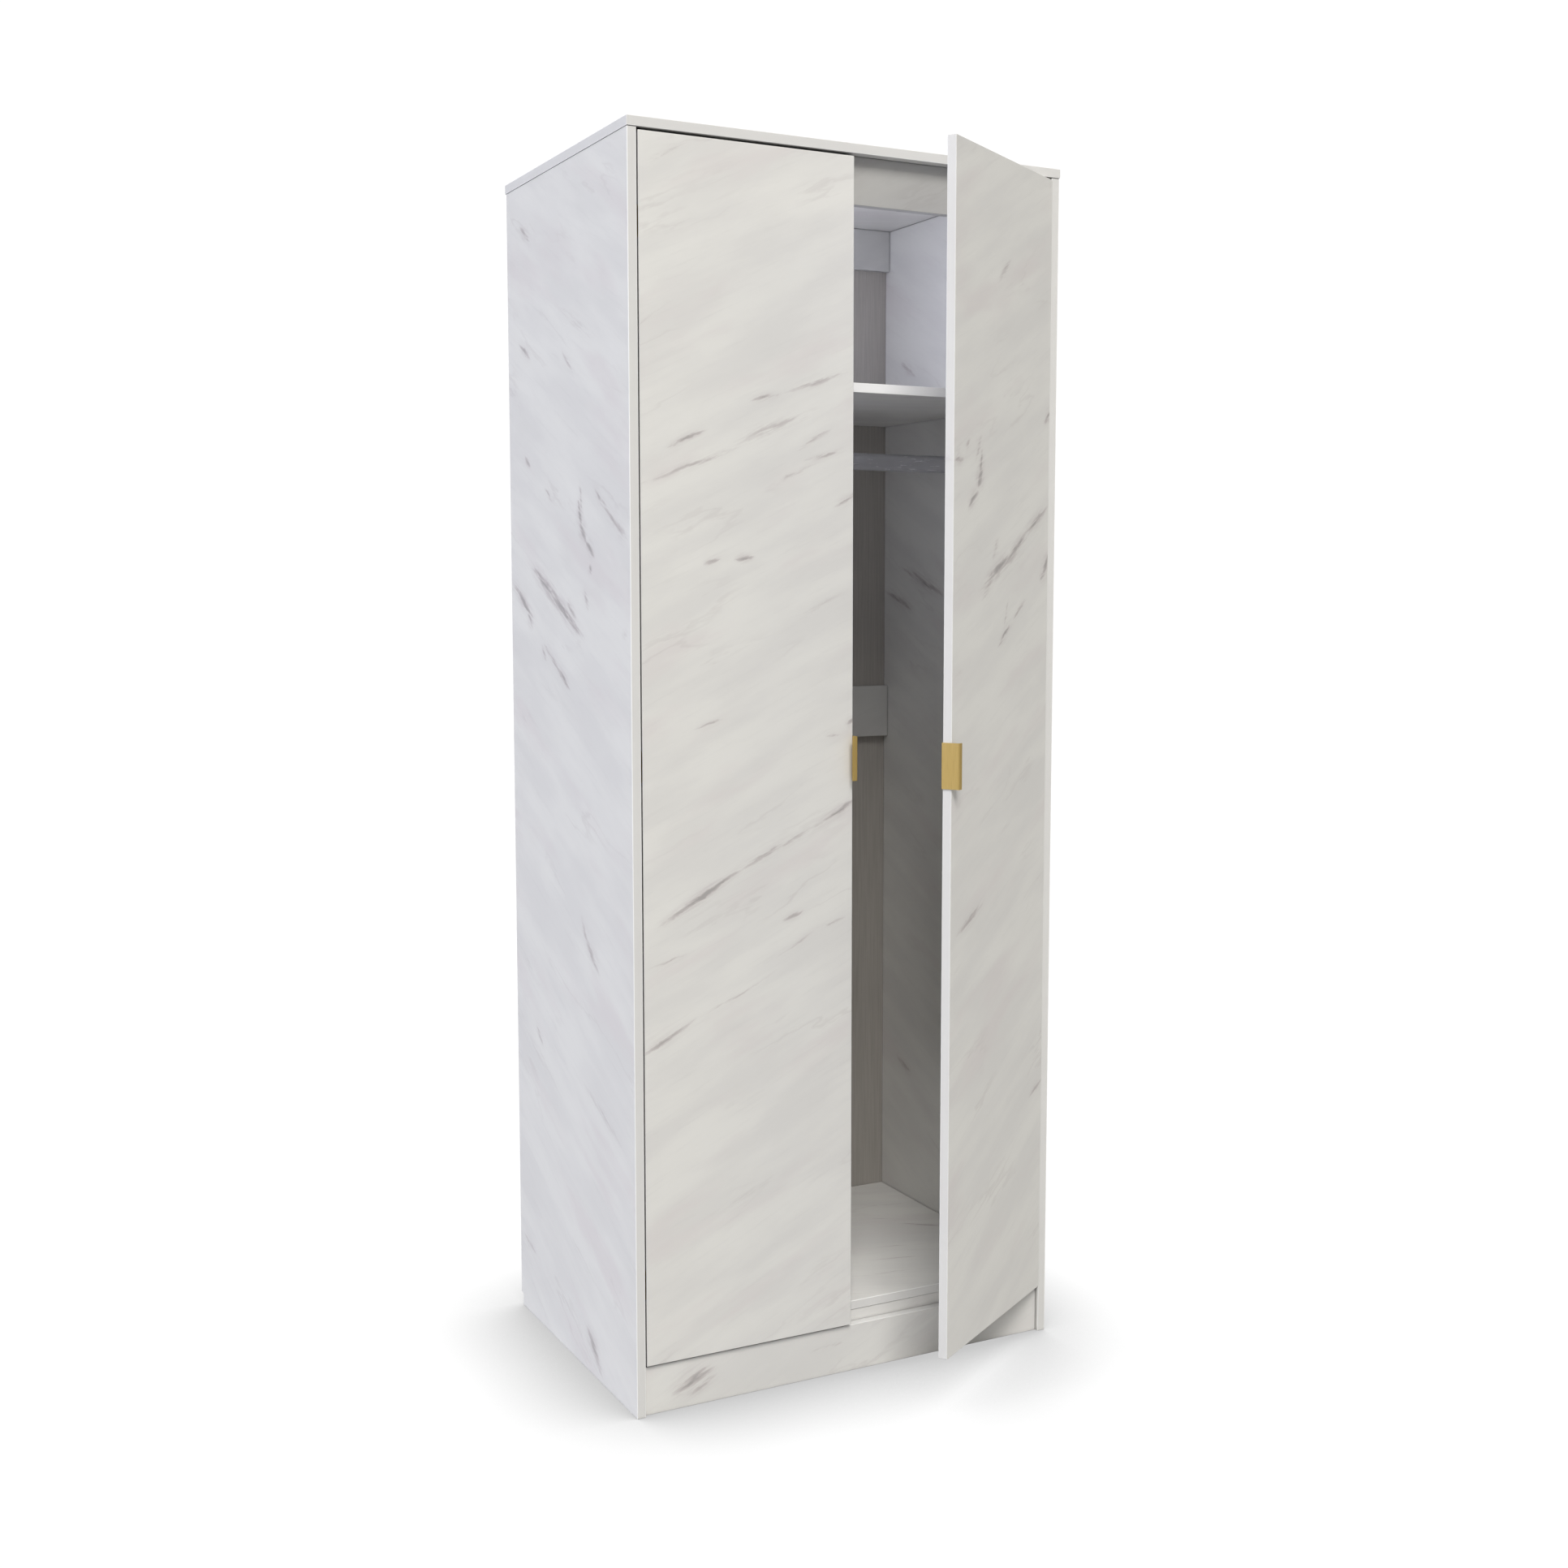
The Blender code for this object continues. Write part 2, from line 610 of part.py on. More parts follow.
clear_scene()
PARTS, CUTTERS = make_collections()
side_panels = add_side_panels()
top_board, shelf_board = add_fixed_boards()
add_back_sheets()
add_shelf_dowels(shelf_board, side_panels)
add_top_dowels(top_board, side_panels)
add_hanging_rail(side_panels)
add_doors(side_panels)
bpy.context.view_layer.update()
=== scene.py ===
"""The looks of the two-door wardrobe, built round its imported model."""

import json
import math

import bmesh
import bpy
from mathutils import Matrix, Vector


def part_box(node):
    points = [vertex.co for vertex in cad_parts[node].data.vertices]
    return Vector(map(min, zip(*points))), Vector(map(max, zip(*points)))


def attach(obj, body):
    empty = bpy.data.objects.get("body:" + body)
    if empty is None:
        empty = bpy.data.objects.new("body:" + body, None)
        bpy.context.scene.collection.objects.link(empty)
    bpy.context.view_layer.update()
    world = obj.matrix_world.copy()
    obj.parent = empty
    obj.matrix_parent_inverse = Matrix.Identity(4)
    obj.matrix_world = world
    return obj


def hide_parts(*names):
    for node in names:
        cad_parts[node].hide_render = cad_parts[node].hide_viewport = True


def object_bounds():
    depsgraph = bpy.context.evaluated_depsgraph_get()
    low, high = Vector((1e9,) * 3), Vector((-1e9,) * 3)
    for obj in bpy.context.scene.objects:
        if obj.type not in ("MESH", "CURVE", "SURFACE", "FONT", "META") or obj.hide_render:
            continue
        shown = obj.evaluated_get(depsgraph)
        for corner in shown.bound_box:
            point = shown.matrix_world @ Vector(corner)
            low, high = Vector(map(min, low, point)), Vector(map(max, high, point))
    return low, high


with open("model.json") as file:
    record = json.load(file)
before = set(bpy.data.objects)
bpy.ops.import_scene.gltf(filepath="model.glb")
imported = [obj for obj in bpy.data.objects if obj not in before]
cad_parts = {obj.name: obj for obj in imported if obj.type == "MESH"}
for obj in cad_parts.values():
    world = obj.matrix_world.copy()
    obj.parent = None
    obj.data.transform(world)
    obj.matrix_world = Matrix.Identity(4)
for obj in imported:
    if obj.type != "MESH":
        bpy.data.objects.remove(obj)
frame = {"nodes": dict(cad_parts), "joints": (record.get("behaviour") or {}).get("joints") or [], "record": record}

CAD_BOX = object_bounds()

# ---------------------------------------------------------------- sizes and places, in metres

X, Y, Z = 0, 1, 2
DOOR_LOW, DOOR_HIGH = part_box("left_door")
FRONT = DOOR_LOW.y
BOARD = DOOR_HIGH.y - DOOR_LOW.y
# The rounding of a board's edges, which on a thin board is one part in so many of its thickness.
ARRIS = 0.0010
ARRIS_PARTS = 3
ARRIS_STEPS = 3
SOFTEN_STEPS = 2
# Points closer than this are one, and places are kept to the micron.
WELD = 0.00001
MICRON_PLACES = 6
# Faces that meet at less than the first angle make a curve, and at less than the second are one.
SHARP = math.radians(35.0)
LEVEL_ENOUGH = math.radians(1.0)

JOINTS = {joint["name"]: joint for joint in frame["joints"]}
RIGHT_HINGE = JOINTS["right_door_hinge"]
RIGHT_AXIS = Vector(RIGHT_HINGE["pos_m"])
AJAR = -math.radians(RIGHT_HINGE["range_deg"][0])

# The right door stands ajar. Its pieces are built shut and then swung open by this.
SWING = (
    Matrix.Translation(RIGHT_AXIS)
    @ Matrix.Rotation(AJAR, 4, "Z")
    @ Matrix.Translation(-RIGHT_AXIS)
)
SHUT = Matrix.Identity(4)

SLOT_OF = {row["node"]: row["material_slot"] for row in frame["record"]["subparts"]}
BODY_OF = {
    node: body for body, nodes in frame["record"]["behaviour"]["bodies"].items() for node in nodes
}


# ---------------------------------------------------------------- shader helpers

NOISE_MIDDLE = 0.5
# The sockets of a Mix node that hold colours.
COLOUR_INPUTS = (6, 7)
COLOUR_OUTPUT = 2


def add_node(tree, kind, inputs=None, **settings):
    """A shader node with its settings and inputs; an input may be a value or another node's output."""
    made = tree.nodes.new(kind)
    for name, value in settings.items():
        setattr(made, name, value)
    for name, value in (inputs or {}).items():
        if isinstance(value, bpy.types.NodeSocket):
            tree.links.new(value, made.inputs[name])
        else:
            made.inputs[name].default_value = value
    return made


def calc(tree, operation, first, second=0.0):
    """One sum on values."""
    return add_node(tree, "ShaderNodeMath", {0: first, 1: second}, operation=operation).outputs[0]


def vector_calc(tree, operation, first, second, result="Vector"):
    """One sum on vectors."""
    made = add_node(tree, "ShaderNodeVectorMath", {0: first, 1: second}, operation=operation)
    return made.outputs[result]


def ramp(tree, value, low, high, out_low=0.0, out_high=1.0, smooth=True):
    """Remaps a value from low..high to out_low..out_high, held at the ends."""
    inputs = {"Value": value, "From Min": low, "From Max": high, "To Min": out_low, "To Max": out_high}
    kind = "SMOOTHSTEP" if smooth else "LINEAR"
    return add_node(tree, "ShaderNodeMapRange", inputs, interpolation_type=kind).outputs["Result"]


def blend(tree, factor, first, second):
    """Mixes two colours."""
    made = add_node(tree, "ShaderNodeMix", {0: factor}, data_type="RGBA")
    for index, colour in zip(COLOUR_INPUTS, (first, second)):
        if isinstance(colour, bpy.types.NodeSocket):
            tree.links.new(colour, made.inputs[index])
        else:
            made.inputs[index].default_value = rgba(colour)
    return made.outputs[COLOUR_OUTPUT]


def stretched(tree, vector, scale, turn=0.0, shift=(0.0, 0.0, 0.0)):
    """Coordinates turned in their plane and then scaled."""
    turned = add_node(tree, "ShaderNodeMapping", {"Vector": vector, "Rotation": (0.0, 0.0, -turn)})
    inputs = {"Vector": turned.outputs[0], "Scale": scale, "Location": shift}
    return add_node(tree, "ShaderNodeMapping", inputs).outputs[0]


def noise(tree, vector, detail, roughness):
    """Soft random values, on average NOISE_MIDDLE."""
    inputs = {"Vector": vector, "Scale": 1.0, "Detail": detail, "Roughness": roughness}
    return add_node(tree, "ShaderNodeTexNoise", inputs).outputs["Fac"]


def linear(value):
    """Display value to linear light."""
    if value <= 0.04045:
        return value / 12.92
    return ((value + 0.055) / 1.055) ** 2.4


def rgba(colour):
    """A display colour as a shader socket takes it."""
    return [linear(channel) for channel in colour] + [1.0]


def new_material(name, roughness=0.5, metallic=0.0):
    """A material with its node tree and its main shader."""
    material = bpy.data.materials.new(name)
    material.use_nodes = True
    tree = material.node_tree
    shader = tree.nodes["Principled BSDF"]
    shader.inputs["Roughness"].default_value = roughness
    shader.inputs["Metallic"].default_value = metallic
    return material, tree, shader


def bump(tree, shader, height, distance, strength=0.3):
    """Fine relief, up to a distance in metres."""
    inputs = {"Height": height, "Distance": distance, "Strength": strength}
    made = add_node(tree, "ShaderNodeBump", inputs)
    tree.links.new(made.outputs["Normal"], shader.inputs["Normal"])


def object_place(tree):
    """Where a point is, in metres; for the right door's new pieces, where it is when shut."""
    return add_node(tree, "ShaderNodeTexCoord").outputs["Object"]


def coordinate(tree, axis):
    """One coordinate of that place."""
    return add_node(tree, "ShaderNodeSeparateXYZ", {0: object_place(tree)}).outputs[axis]


def grained(tree, grain):
    """A pattern that runs all through a material."""
    scale, detail, roughness = grain
    return noise(tree, stretched(tree, object_place(tree), scale), detail, roughness)


# ---------------------------------------------------------------- marble laminate

WHITE = (0.895, 0.892, 0.880)
WHITE_DIM = (0.868, 0.864, 0.856)
PINKISH = (0.862, 0.845, 0.842)
STREAK = (0.815, 0.81, 0.805)
VEIN_HALO = (0.81, 0.792, 0.79)
VEIN_SOFT = (0.760, 0.738, 0.735)
VEIN_DARK = (0.660, 0.648, 0.646)
EDGE_BAND = (0.862, 0.860, 0.856)
# The shelf's edge tape is paler than the others' as painted light on its set-back front edge.
SHELF_BAND_PAINTED_LIGHT = (0.980, 0.980, 0.982)
# The colour of the painted highlight along rounded arrises.
ARRIS_HIGHLIGHT_WHITE = (0.965, 0.965, 0.965)
# The grey that painted shade darkens colours towards.
SHADE = (0.28, 0.28, 0.28)

VEIN_TILT = math.radians(25.0)
LEVEL_TILT = math.radians(-20.0)

# Printed patterns: marks to the metre along and across the veins, a shift that keeps patterns apart, levels
# of detail, and how strong the finer levels are.
CLOUD = ((4.0, 17.0, 1.0), (0.0, 0.0, 0.0), 5.0, 0.5)
BLUSH = ((3.4, 13.0, 1.0), (4.1, 7.7, 0.0), 4.0, 0.5)
FIBRE = ((9.0, 130.0, 1.0), (0.0, 0.0, 0.0), 4.0, 0.6)
HAIRLINE = ((2.4, 11.0, 1.0), (1.3, 2.9, 0.0), 5.0, 0.55)
HAIRLINE_PATCH = ((4.0, 9.0, 1.0), (8.3, 0.4, 0.0), 2.0, 0.5)
FEATHER = ((22.0, 200.0, 1.0), (0.0, 0.0, 0.0), 4.0, 0.6)
SHEEN = ((14.0, 22.0, 1.0), (0.0, 5.0, 0.0), 3.0, 0.5)

# Ramps: the two values between which a pattern comes in, and how much of it there is at each. For the sheen
# that is how rough the surface is.
CLOUD_RAMP = (0.35, 0.65, 0.0, 1.0)
BLUSH_RAMP = (0.52, 0.72, 0.0, 0.75)
FIBRE_RAMP = (0.52, 0.78, 0.0, 0.22)
HAIRLINE_RAMP = (0.0, 0.022, 1.0, 0.0)
HAIRLINE_PATCH_RAMP = (0.50, 0.70, 0.0, 0.28)
HALO_FEATHER_RAMP = (0.30, 0.70, 0.35, 1.2)
CORE_FEATHER_RAMP = (0.34, 0.62, 0.35, 1.15)
HALO_RAMP = (0.03, 0.75, 0.0, 0.80)
SOFT_RAMP = (0.04, 0.36, 0.0, 0.85)
DARK_RAMP = (0.26, 0.74, 0.0, 0.90)
SHEEN_RAMP = (0.3, 0.7, 0.36, 0.44)

# A vein's soft surround, as multiples of the vein, and how a vein bends and its core crinkles: bends to the
# metre, and their reach.
HALO_LENGTH = 1.2
HALO_WIDTH = 3.4
BEND = (9.0, 0.007)
CRINKLES = ((60.0, 0.0030), (160.0, 0.0012))
WANDER_DETAIL = 2.0

# Depths below a board's face between which the edge tape's colour goes out, and where the painted highlight on the
# arris does. The highlight comes in over the depths from ARRIS_SPREAD times the rounding up to the rounding.
BAND_DEPTHS = (0.0004, 0.0001)
BAND_SHARE = 0.80
FACE_DEPTHS = (0.0002, 0.00005)
ARRIS_SPREAD = 1.4
# How strong the painted highlight on the arrises is, on each kind of board.
DOOR_ARRIS_HIGHLIGHT = 0.4
PANEL_ARRIS_HIGHLIGHT = 1.0
LEVEL_ARRIS_HIGHLIGHT = 0.8

# Painted shade in gaps and corners that are closer than the reach.
CREVICE_REACH = 0.010
CREVICE_SAMPLES = 4
CREVICE_OPENNESS = (0.08, 0.46)
CREVICE_SHARE = 0.88

# The same all over: marks to the metre each way, levels of detail, and how strong the finer levels are.
STIPPLE = ((1400.0, 1400.0, 1400.0), 2.0, 0.5)
STIPPLE_HEIGHT = 0.00004
STIPPLE_STRENGTH = 0.5

# The two directions that a board's pattern runs in. Each counts the board's thin way too, so that the
# pattern runs on round an edge.
UPRIGHT = ((1.0, 1.0, 0.0), (0.0, 0.0, 1.0))
LEVEL = ((1.0, 0.0, 1.0), (0.0, 1.0, 1.0))


def plane_place(tree, directions, origin, seed):
    """Distances along a board's two directions, with the board's own seed as the third coordinate."""
    from_origin = vector_calc(tree, "SUBTRACT", object_place(tree), origin)
    along, up = [vector_calc(tree, "DOT_PRODUCT", from_origin, way, "Value") for way in directions]
    return add_node(tree, "ShaderNodeCombineXYZ", {"X": along, "Y": up, "Z": seed}).outputs[0]


def wander(tree, vector, scale, reach):
    """Pushes coordinates about by a soft noise, up to a reach in metres."""
    inputs = {"Vector": vector, "Scale": scale, "Detail": WANDER_DETAIL}
    swirl = add_node(tree, "ShaderNodeTexNoise", inputs).outputs["Color"]
    centred = vector_calc(tree, "SUBTRACT", swirl, (NOISE_MIDDLE,) * 3)
    push = vector_calc(tree, "MULTIPLY", centred, (2 * reach, 2 * reach, 0.0))
    return vector_calc(tree, "ADD", vector, push)


def strokes(tree, vector, veins, seed, longer=1.0, wider=1.0):
    """The darkest of a board's own veins at each point, 0 to 1."""
    total = None
    for u, v, length, angle, width, strength in veins:
        inputs = {
            "Vector": vector,
            "Location": (u, v, seed),
            "Rotation": (0.0, 0.0, math.radians(angle)),
            "Scale": (longer * length / 2, wider * width, 1.0),
        }
        own = add_node(tree, "ShaderNodeMapping", inputs, vector_type="TEXTURE").outputs[0]
        spot = add_node(tree, "ShaderNodeTexGradient", {"Vector": own}, gradient_type="SPHERICAL")
        weighed = calc(tree, "MULTIPLY", spot.outputs["Fac"], strength)
        total = weighed if total is None else calc(tree, "MAXIMUM", total, weighed)
    return total


def printed(tree, place, pattern, tilt):
    """One of the printed patterns, drawn out along the veins."""
    scale, shift, detail, roughness = pattern
    return noise(tree, stretched(tree, place, scale, tilt, shift), detail, roughness)


def veined(tree, colour, place, veins, seed, tilt):
    """Draws a board's own veins over its colour: a soft surround, then the feathered core."""
    bent = wander(tree, place, *BEND)
    feather = printed(tree, place, FEATHER, tilt)
    halo = strokes(tree, bent, veins, seed, HALO_LENGTH, HALO_WIDTH)
    halo = calc(tree, "MULTIPLY", halo, ramp(tree, feather, *HALO_FEATHER_RAMP))
    colour = blend(tree, ramp(tree, halo, *HALO_RAMP), colour, VEIN_HALO)
    crinkled = bent
    for scale, reach in CRINKLES:
        crinkled = wander(tree, crinkled, scale, reach)
    core = strokes(tree, crinkled, veins, seed)
    core = calc(tree, "MULTIPLY", core, ramp(tree, feather, *CORE_FEATHER_RAMP))
    colour = blend(tree, ramp(tree, core, *SOFT_RAMP), colour, VEIN_SOFT)
    return blend(tree, ramp(tree, core, *DARK_RAMP), colour, VEIN_DARK)


def edged(tree, colour, through, edge, arris_highlight):
    """Gives a board's narrow faces their tape, and its rounded arrises a painted highlight."""
    axis, middle = through
    off_middle = calc(tree, "SUBTRACT", coordinate(tree, axis), middle)
    off_middle = calc(tree, "ABSOLUTE", off_middle)
    band_from, band_to = [BOARD / 2 - depth for depth in BAND_DEPTHS]
    colour = blend(tree, ramp(tree, off_middle, band_from, band_to, BAND_SHARE, 0.0), colour, edge)
    face_from, face_to = [BOARD / 2 - depth for depth in FACE_DEPTHS]
    off_face = ramp(tree, off_middle, face_from, face_to, 1.0, 0.0)
    round_from, round_to = BOARD / 2 - ARRIS_SPREAD * ARRIS, BOARD / 2 - ARRIS
    rounding = ramp(tree, off_middle, round_from, round_to, 0.0, arris_highlight)
    return blend(tree, calc(tree, "MULTIPLY", off_face, rounding), colour, ARRIS_HIGHLIGHT_WHITE)


def marble(
    node, directions, origin, through, seed, veins=(), tilt=VEIN_TILT, shaded=0.0,
    arris_highlight=DOOR_ARRIS_HIGHLIGHT, edge=EDGE_BAND,
):
    """Marble-effect laminate. through is the board's thin axis and the board's middle on it."""
    material, tree, shader = new_material(node + "_marble")
    place = plane_place(tree, directions, origin, seed)

    cloud = printed(tree, place, CLOUD, tilt)
    colour = blend(tree, ramp(tree, cloud, *CLOUD_RAMP), WHITE, WHITE_DIM)
    blush = printed(tree, place, BLUSH, tilt)
    colour = blend(tree, ramp(tree, blush, *BLUSH_RAMP), colour, PINKISH)
    fibre = printed(tree, place, FIBRE, tilt)
    colour = blend(tree, ramp(tree, fibre, *FIBRE_RAMP), colour, STREAK)

    waving = printed(tree, place, HAIRLINE, tilt)
    nearness = calc(tree, "ABSOLUTE", calc(tree, "SUBTRACT", waving, NOISE_MIDDLE))
    patch = ramp(tree, printed(tree, place, HAIRLINE_PATCH, tilt), *HAIRLINE_PATCH_RAMP)
    hairline = calc(tree, "MULTIPLY", ramp(tree, nearness, *HAIRLINE_RAMP), patch)
    colour = blend(tree, hairline, colour, VEIN_SOFT)

    if veins:
        colour = veined(tree, colour, place, veins, seed, tilt)
    colour = edged(tree, colour, through, edge, arris_highlight)

    # Painted shade: darker towards SHADE in gaps and corners closer than CREVICE_REACH, and by shaded all over the
    # board.
    inputs = {"Distance": CREVICE_REACH}
    open_air = add_node(tree, "ShaderNodeAmbientOcclusion", inputs, samples=CREVICE_SAMPLES).outputs["AO"]
    painted_shade = ramp(tree, open_air, *CREVICE_OPENNESS, CREVICE_SHARE, shaded)
    tree.links.new(blend(tree, painted_shade, colour, SHADE), shader.inputs["Base Color"])
    sheen = ramp(tree, printed(tree, place, SHEEN, tilt), *SHEEN_RAMP)
    tree.links.new(sheen, shader.inputs["Roughness"])
    bump(tree, shader, grained(tree, STIPPLE), STIPPLE_HEIGHT, STIPPLE_STRENGTH)
    return material


# ---------------------------------------------------------------- pieces

def swing_of(node):
    """How far a node's body has turned from its shut position."""
    return SWING if BODY_OF[node] == "right_door_leaf" else SHUT


def shut_mesh(node):
    """A node's own shape, in its shut position, with its flat faces made whole."""
    bm = bmesh.new()
    bm.from_mesh(frame["nodes"][node].data)
    bmesh.ops.transform(bm, matrix=swing_of(node).inverted(), verts=bm.verts)
    for vert in bm.verts:
        vert.co = [round(value, MICRON_PLACES) for value in vert.co]
    bmesh.ops.remove_doubles(bm, verts=bm.verts, dist=WELD)
    bmesh.ops.dissolve_limit(bm, angle_limit=LEVEL_ENOUGH, verts=bm.verts, edges=bm.edges)
    return bm


def corners_of(bm):
    """The lowest and highest corners of a mesh."""
    low = Vector([min(vert.co[axis] for vert in bm.verts) for axis in (X, Y, Z)])
    high = Vector([max(vert.co[axis] for vert in bm.verts) for axis in (X, Y, Z)])
    return low, high


def shut_box(node):
    """A node's lowest and highest corners in its shut position."""
    bm = shut_mesh(node)
    low, high = corners_of(bm)
    bm.free()
    return low, high


def make_mesh(name, bm):
    """Ends the work on a shape: rounded where it bends gently, creased where it turns sharply."""
    mesh = bpy.data.meshes.new(name)
    bm.to_mesh(mesh)
    bm.free()
    mesh.shade_smooth()
    mesh.set_sharp_from_angle(angle=SHARP)
    return mesh


def make_closed_mesh(name, bm):
    """The same for a shape whose faces may point either way."""
    bmesh.ops.recalc_face_normals(bm, faces=bm.faces)
    return make_mesh(name, bm)


def add_piece(name, mesh, node, material, replaced=()):
    """A piece with the body and the swing of a node."""
    piece = bpy.data.objects.new(name, mesh)
    bpy.context.scene.collection.objects.link(piece)
    piece.matrix_world = swing_of(node)
    piece.data.materials.append(material)
    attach(piece, BODY_OF[node])
    if replaced:
        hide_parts(*replaced)
    return piece


def even_faces(piece):
    """Keeps flat faces flat in the light where they meet a rounded edge."""
    even = piece.modifiers.new("even_faces", "WEIGHTED_NORMAL")
    even.keep_sharp = True


# ---------------------------------------------------------------- boards

def lies_on_arris(edge, low, high):
    """True for an edge that lies along one of the twelve edges of a box."""
    middle = (edge.verts[0].co + edge.verts[1].co) / 2
    sides = sum(
        min(abs(middle[axis] - low[axis]), abs(middle[axis] - high[axis])) < WELD for axis in (X, Y, Z)
    )
    return sides >= 2


def add_board(node, material):
    """A board with the CAD's own shape and with its arrises rounded."""
    bm = shut_mesh(node)
    low, high = corners_of(bm)
    arrises = [edge for edge in bm.edges if lies_on_arris(edge, low, high)]
    round_off = min(ARRIS, min(high - low) / ARRIS_PARTS)
    bmesh.ops.bevel(
        bm, geom=arrises, offset=round_off, segments=ARRIS_STEPS, profile=0.5, affect="EDGES"
    )
    mesh = make_mesh(node + "_rounded", bm)
    even_faces(add_piece(node + "_board", mesh, node, material, (node,)))


# Veins: place along the board, height, length, slope in degrees, half width, strength.
LEFT_DOOR_VEINS = (
    (-0.268, 0.812, 0.19, 30, 0.0050, 1.0),
    (-0.143, 0.877, 0.22, 25, 0.0060, 0.45),
    (-0.035, 0.930, 0.11, 28, 0.0045, 0.75),
    (-0.291, 1.507, 0.080, 25, 0.0030, 0.85),
    (-0.157, 1.575, 0.065, 17, 0.0040, 0.60),
    (-0.072, 1.601, 0.15, 19, 0.0050, 0.42),
    (-0.285, 1.467, 0.24, 20, 0.0050, 0.40),
    (-0.141, 1.530, 0.22, 22, 0.0120, 0.30),
    (-0.018, 1.421, 0.07, 33, 0.0045, 0.62),
    (-0.071, 1.514, 0.09, 30, 0.0045, 0.38),
    (-0.051, 1.492, 0.11, 16, 0.0040, 0.42),
    (-0.110, 1.459, 0.15, 24, 0.0040, 0.28),
    (-0.248, 1.324, 0.045, 12, 0.0050, 0.50),
    (-0.194, 1.333, 0.045, 12, 0.0035, 0.72),
    (-0.108, 0.769, 0.055, 20, 0.0040, 0.62),
    (-0.106, 0.722, 0.11, 30, 0.0040, 0.32),
    (-0.040, 0.754, 0.08, 15, 0.0040, 0.32),
    (-0.327, 0.594, 0.13, 30, 0.0050, 0.62),
    (-0.216, 0.648, 0.24, 25, 0.0040, 0.26),
    (-0.253, 1.078, 0.065, 14, 0.0030, 0.45),
    (-0.323, 0.716, 0.10, 16, 0.0040, 0.28),
    (-0.321, 1.926, 0.12, 27, 0.0050, 0.26),
    (-0.006, 1.075, 0.030, 60, 0.0060, 0.60),
    (-0.038, 1.054, 0.035, 5, 0.0030, 0.40),
    (-0.060, 1.260, 0.16, 24, 0.0100, 0.20),
    (-0.200, 0.330, 0.26, 22, 0.0120, 0.16),
)
LEFT_SIDE_VEINS = (
    (0.352, 1.292, 0.18, 24, 0.0075, 0.95),
    (0.262, 1.246, 0.20, 26, 0.0080, 0.95),
    (0.300, 1.262, 0.16, 20, 0.0130, 0.45),
    (0.232, 1.250, 0.07, 38, 0.0090, 0.45),
    (0.462, 1.262, 0.14, 30, 0.0070, 0.95),
    (0.430, 1.232, 0.05, 50, 0.0070, 0.70),
    (0.190, 1.400, 0.060, 75, 0.0065, 0.85),
    (0.178, 1.372, 0.055, 50, 0.0075, 0.90),
    (0.150, 1.346, 0.055, 35, 0.0060, 0.90),
    (0.185, 1.425, 0.060, 80, 0.0070, 0.45),
    (0.150, 1.315, 0.020, 60, 0.0060, 0.60),
    (0.060, 1.392, 0.16, 32, 0.0070, 0.55),
    (0.110, 1.425, 0.07, 48, 0.0060, 0.50),
    (0.024, 1.372, 0.08, 30, 0.0100, 0.42),
    (0.432, 1.496, 0.040, 40, 0.0050, 0.60),
    (0.332, 1.438, 0.060, 35, 0.0050, 0.40),
    (0.308, 1.158, 0.17, 30, 0.0060, 0.50),
    (0.268, 1.138, 0.070, 32, 0.0050, 0.85),
    (0.362, 1.172, 0.050, 50, 0.0060, 0.40),
    (0.170, 1.270, 0.060, 60, 0.0100, 0.34),
    (0.433, 1.873, 0.080, 34, 0.0060, 0.65),
    (0.441, 1.683, 0.080, 28, 0.0060, 0.62),
    (0.235, 1.640, 0.100, 40, 0.0060, 0.34),
    (0.157, 0.701, 0.090, 40, 0.0090, 0.66),
    (0.190, 0.735, 0.070, 55, 0.0070, 0.45),
    (0.166, 0.047, 0.11, 46, 0.0100, 0.80),
    (0.410, 0.520, 0.070, 45, 0.0070, 0.42),
    (0.009, 1.215, 0.030, 20, 0.0040, 0.55),
    (0.473, 0.126, 0.080, 20, 0.0050, 0.50),
    (0.200, 1.700, 0.30, 24, 0.0120, 0.22),
    (0.120, 0.450, 0.30, 22, 0.0120, 0.22),
)
RIGHT_DOOR_VEINS = (
    (0.100, 1.478, 0.050, 80, 0.0060, 0.85),
    (0.097, 1.452, 0.045, 70, 0.0070, 0.95),
    (0.074, 1.420, 0.060, 36, 0.0055, 0.85),
    (0.090, 1.500, 0.060, 60, 0.0070, 0.42),
    (0.052, 1.500, 0.040, 55, 0.0060, 0.40),
    (0.172, 1.318, 0.18, 26, 0.0065, 0.90),
    (0.235, 1.350, 0.14, 32, 0.0060, 0.85),
    (0.310, 1.395, 0.14, 27, 0.0065, 0.80),
    (0.215, 1.335, 0.20, 29, 0.0130, 0.45),
    (0.130, 1.290, 0.08, 38, 0.0100, 0.42),
    (0.357, 1.325, 0.055, 60, 0.0070, 0.85),
    (0.345, 1.305, 0.035, 40, 0.0060, 0.60),
    (0.360, 1.568, 0.050, 35, 0.0060, 0.75),
    (0.155, 1.345, 0.060, 60, 0.0090, 0.40),
    (0.195, 1.212, 0.080, 38, 0.0045, 0.80),
    (0.250, 1.250, 0.110, 34, 0.0045, 0.40),
    (0.200, 1.246, 0.060, 70, 0.0040, 0.36),
    (0.074, 0.773, 0.13, 23, 0.0060, 0.60),
    (0.344, 0.438, 0.070, 22, 0.0060, 0.55),
    (0.021, 1.477, 0.040, 10, 0.0050, 0.60),
    (0.180, 1.780, 0.080, 40, 0.0080, 0.36),
)
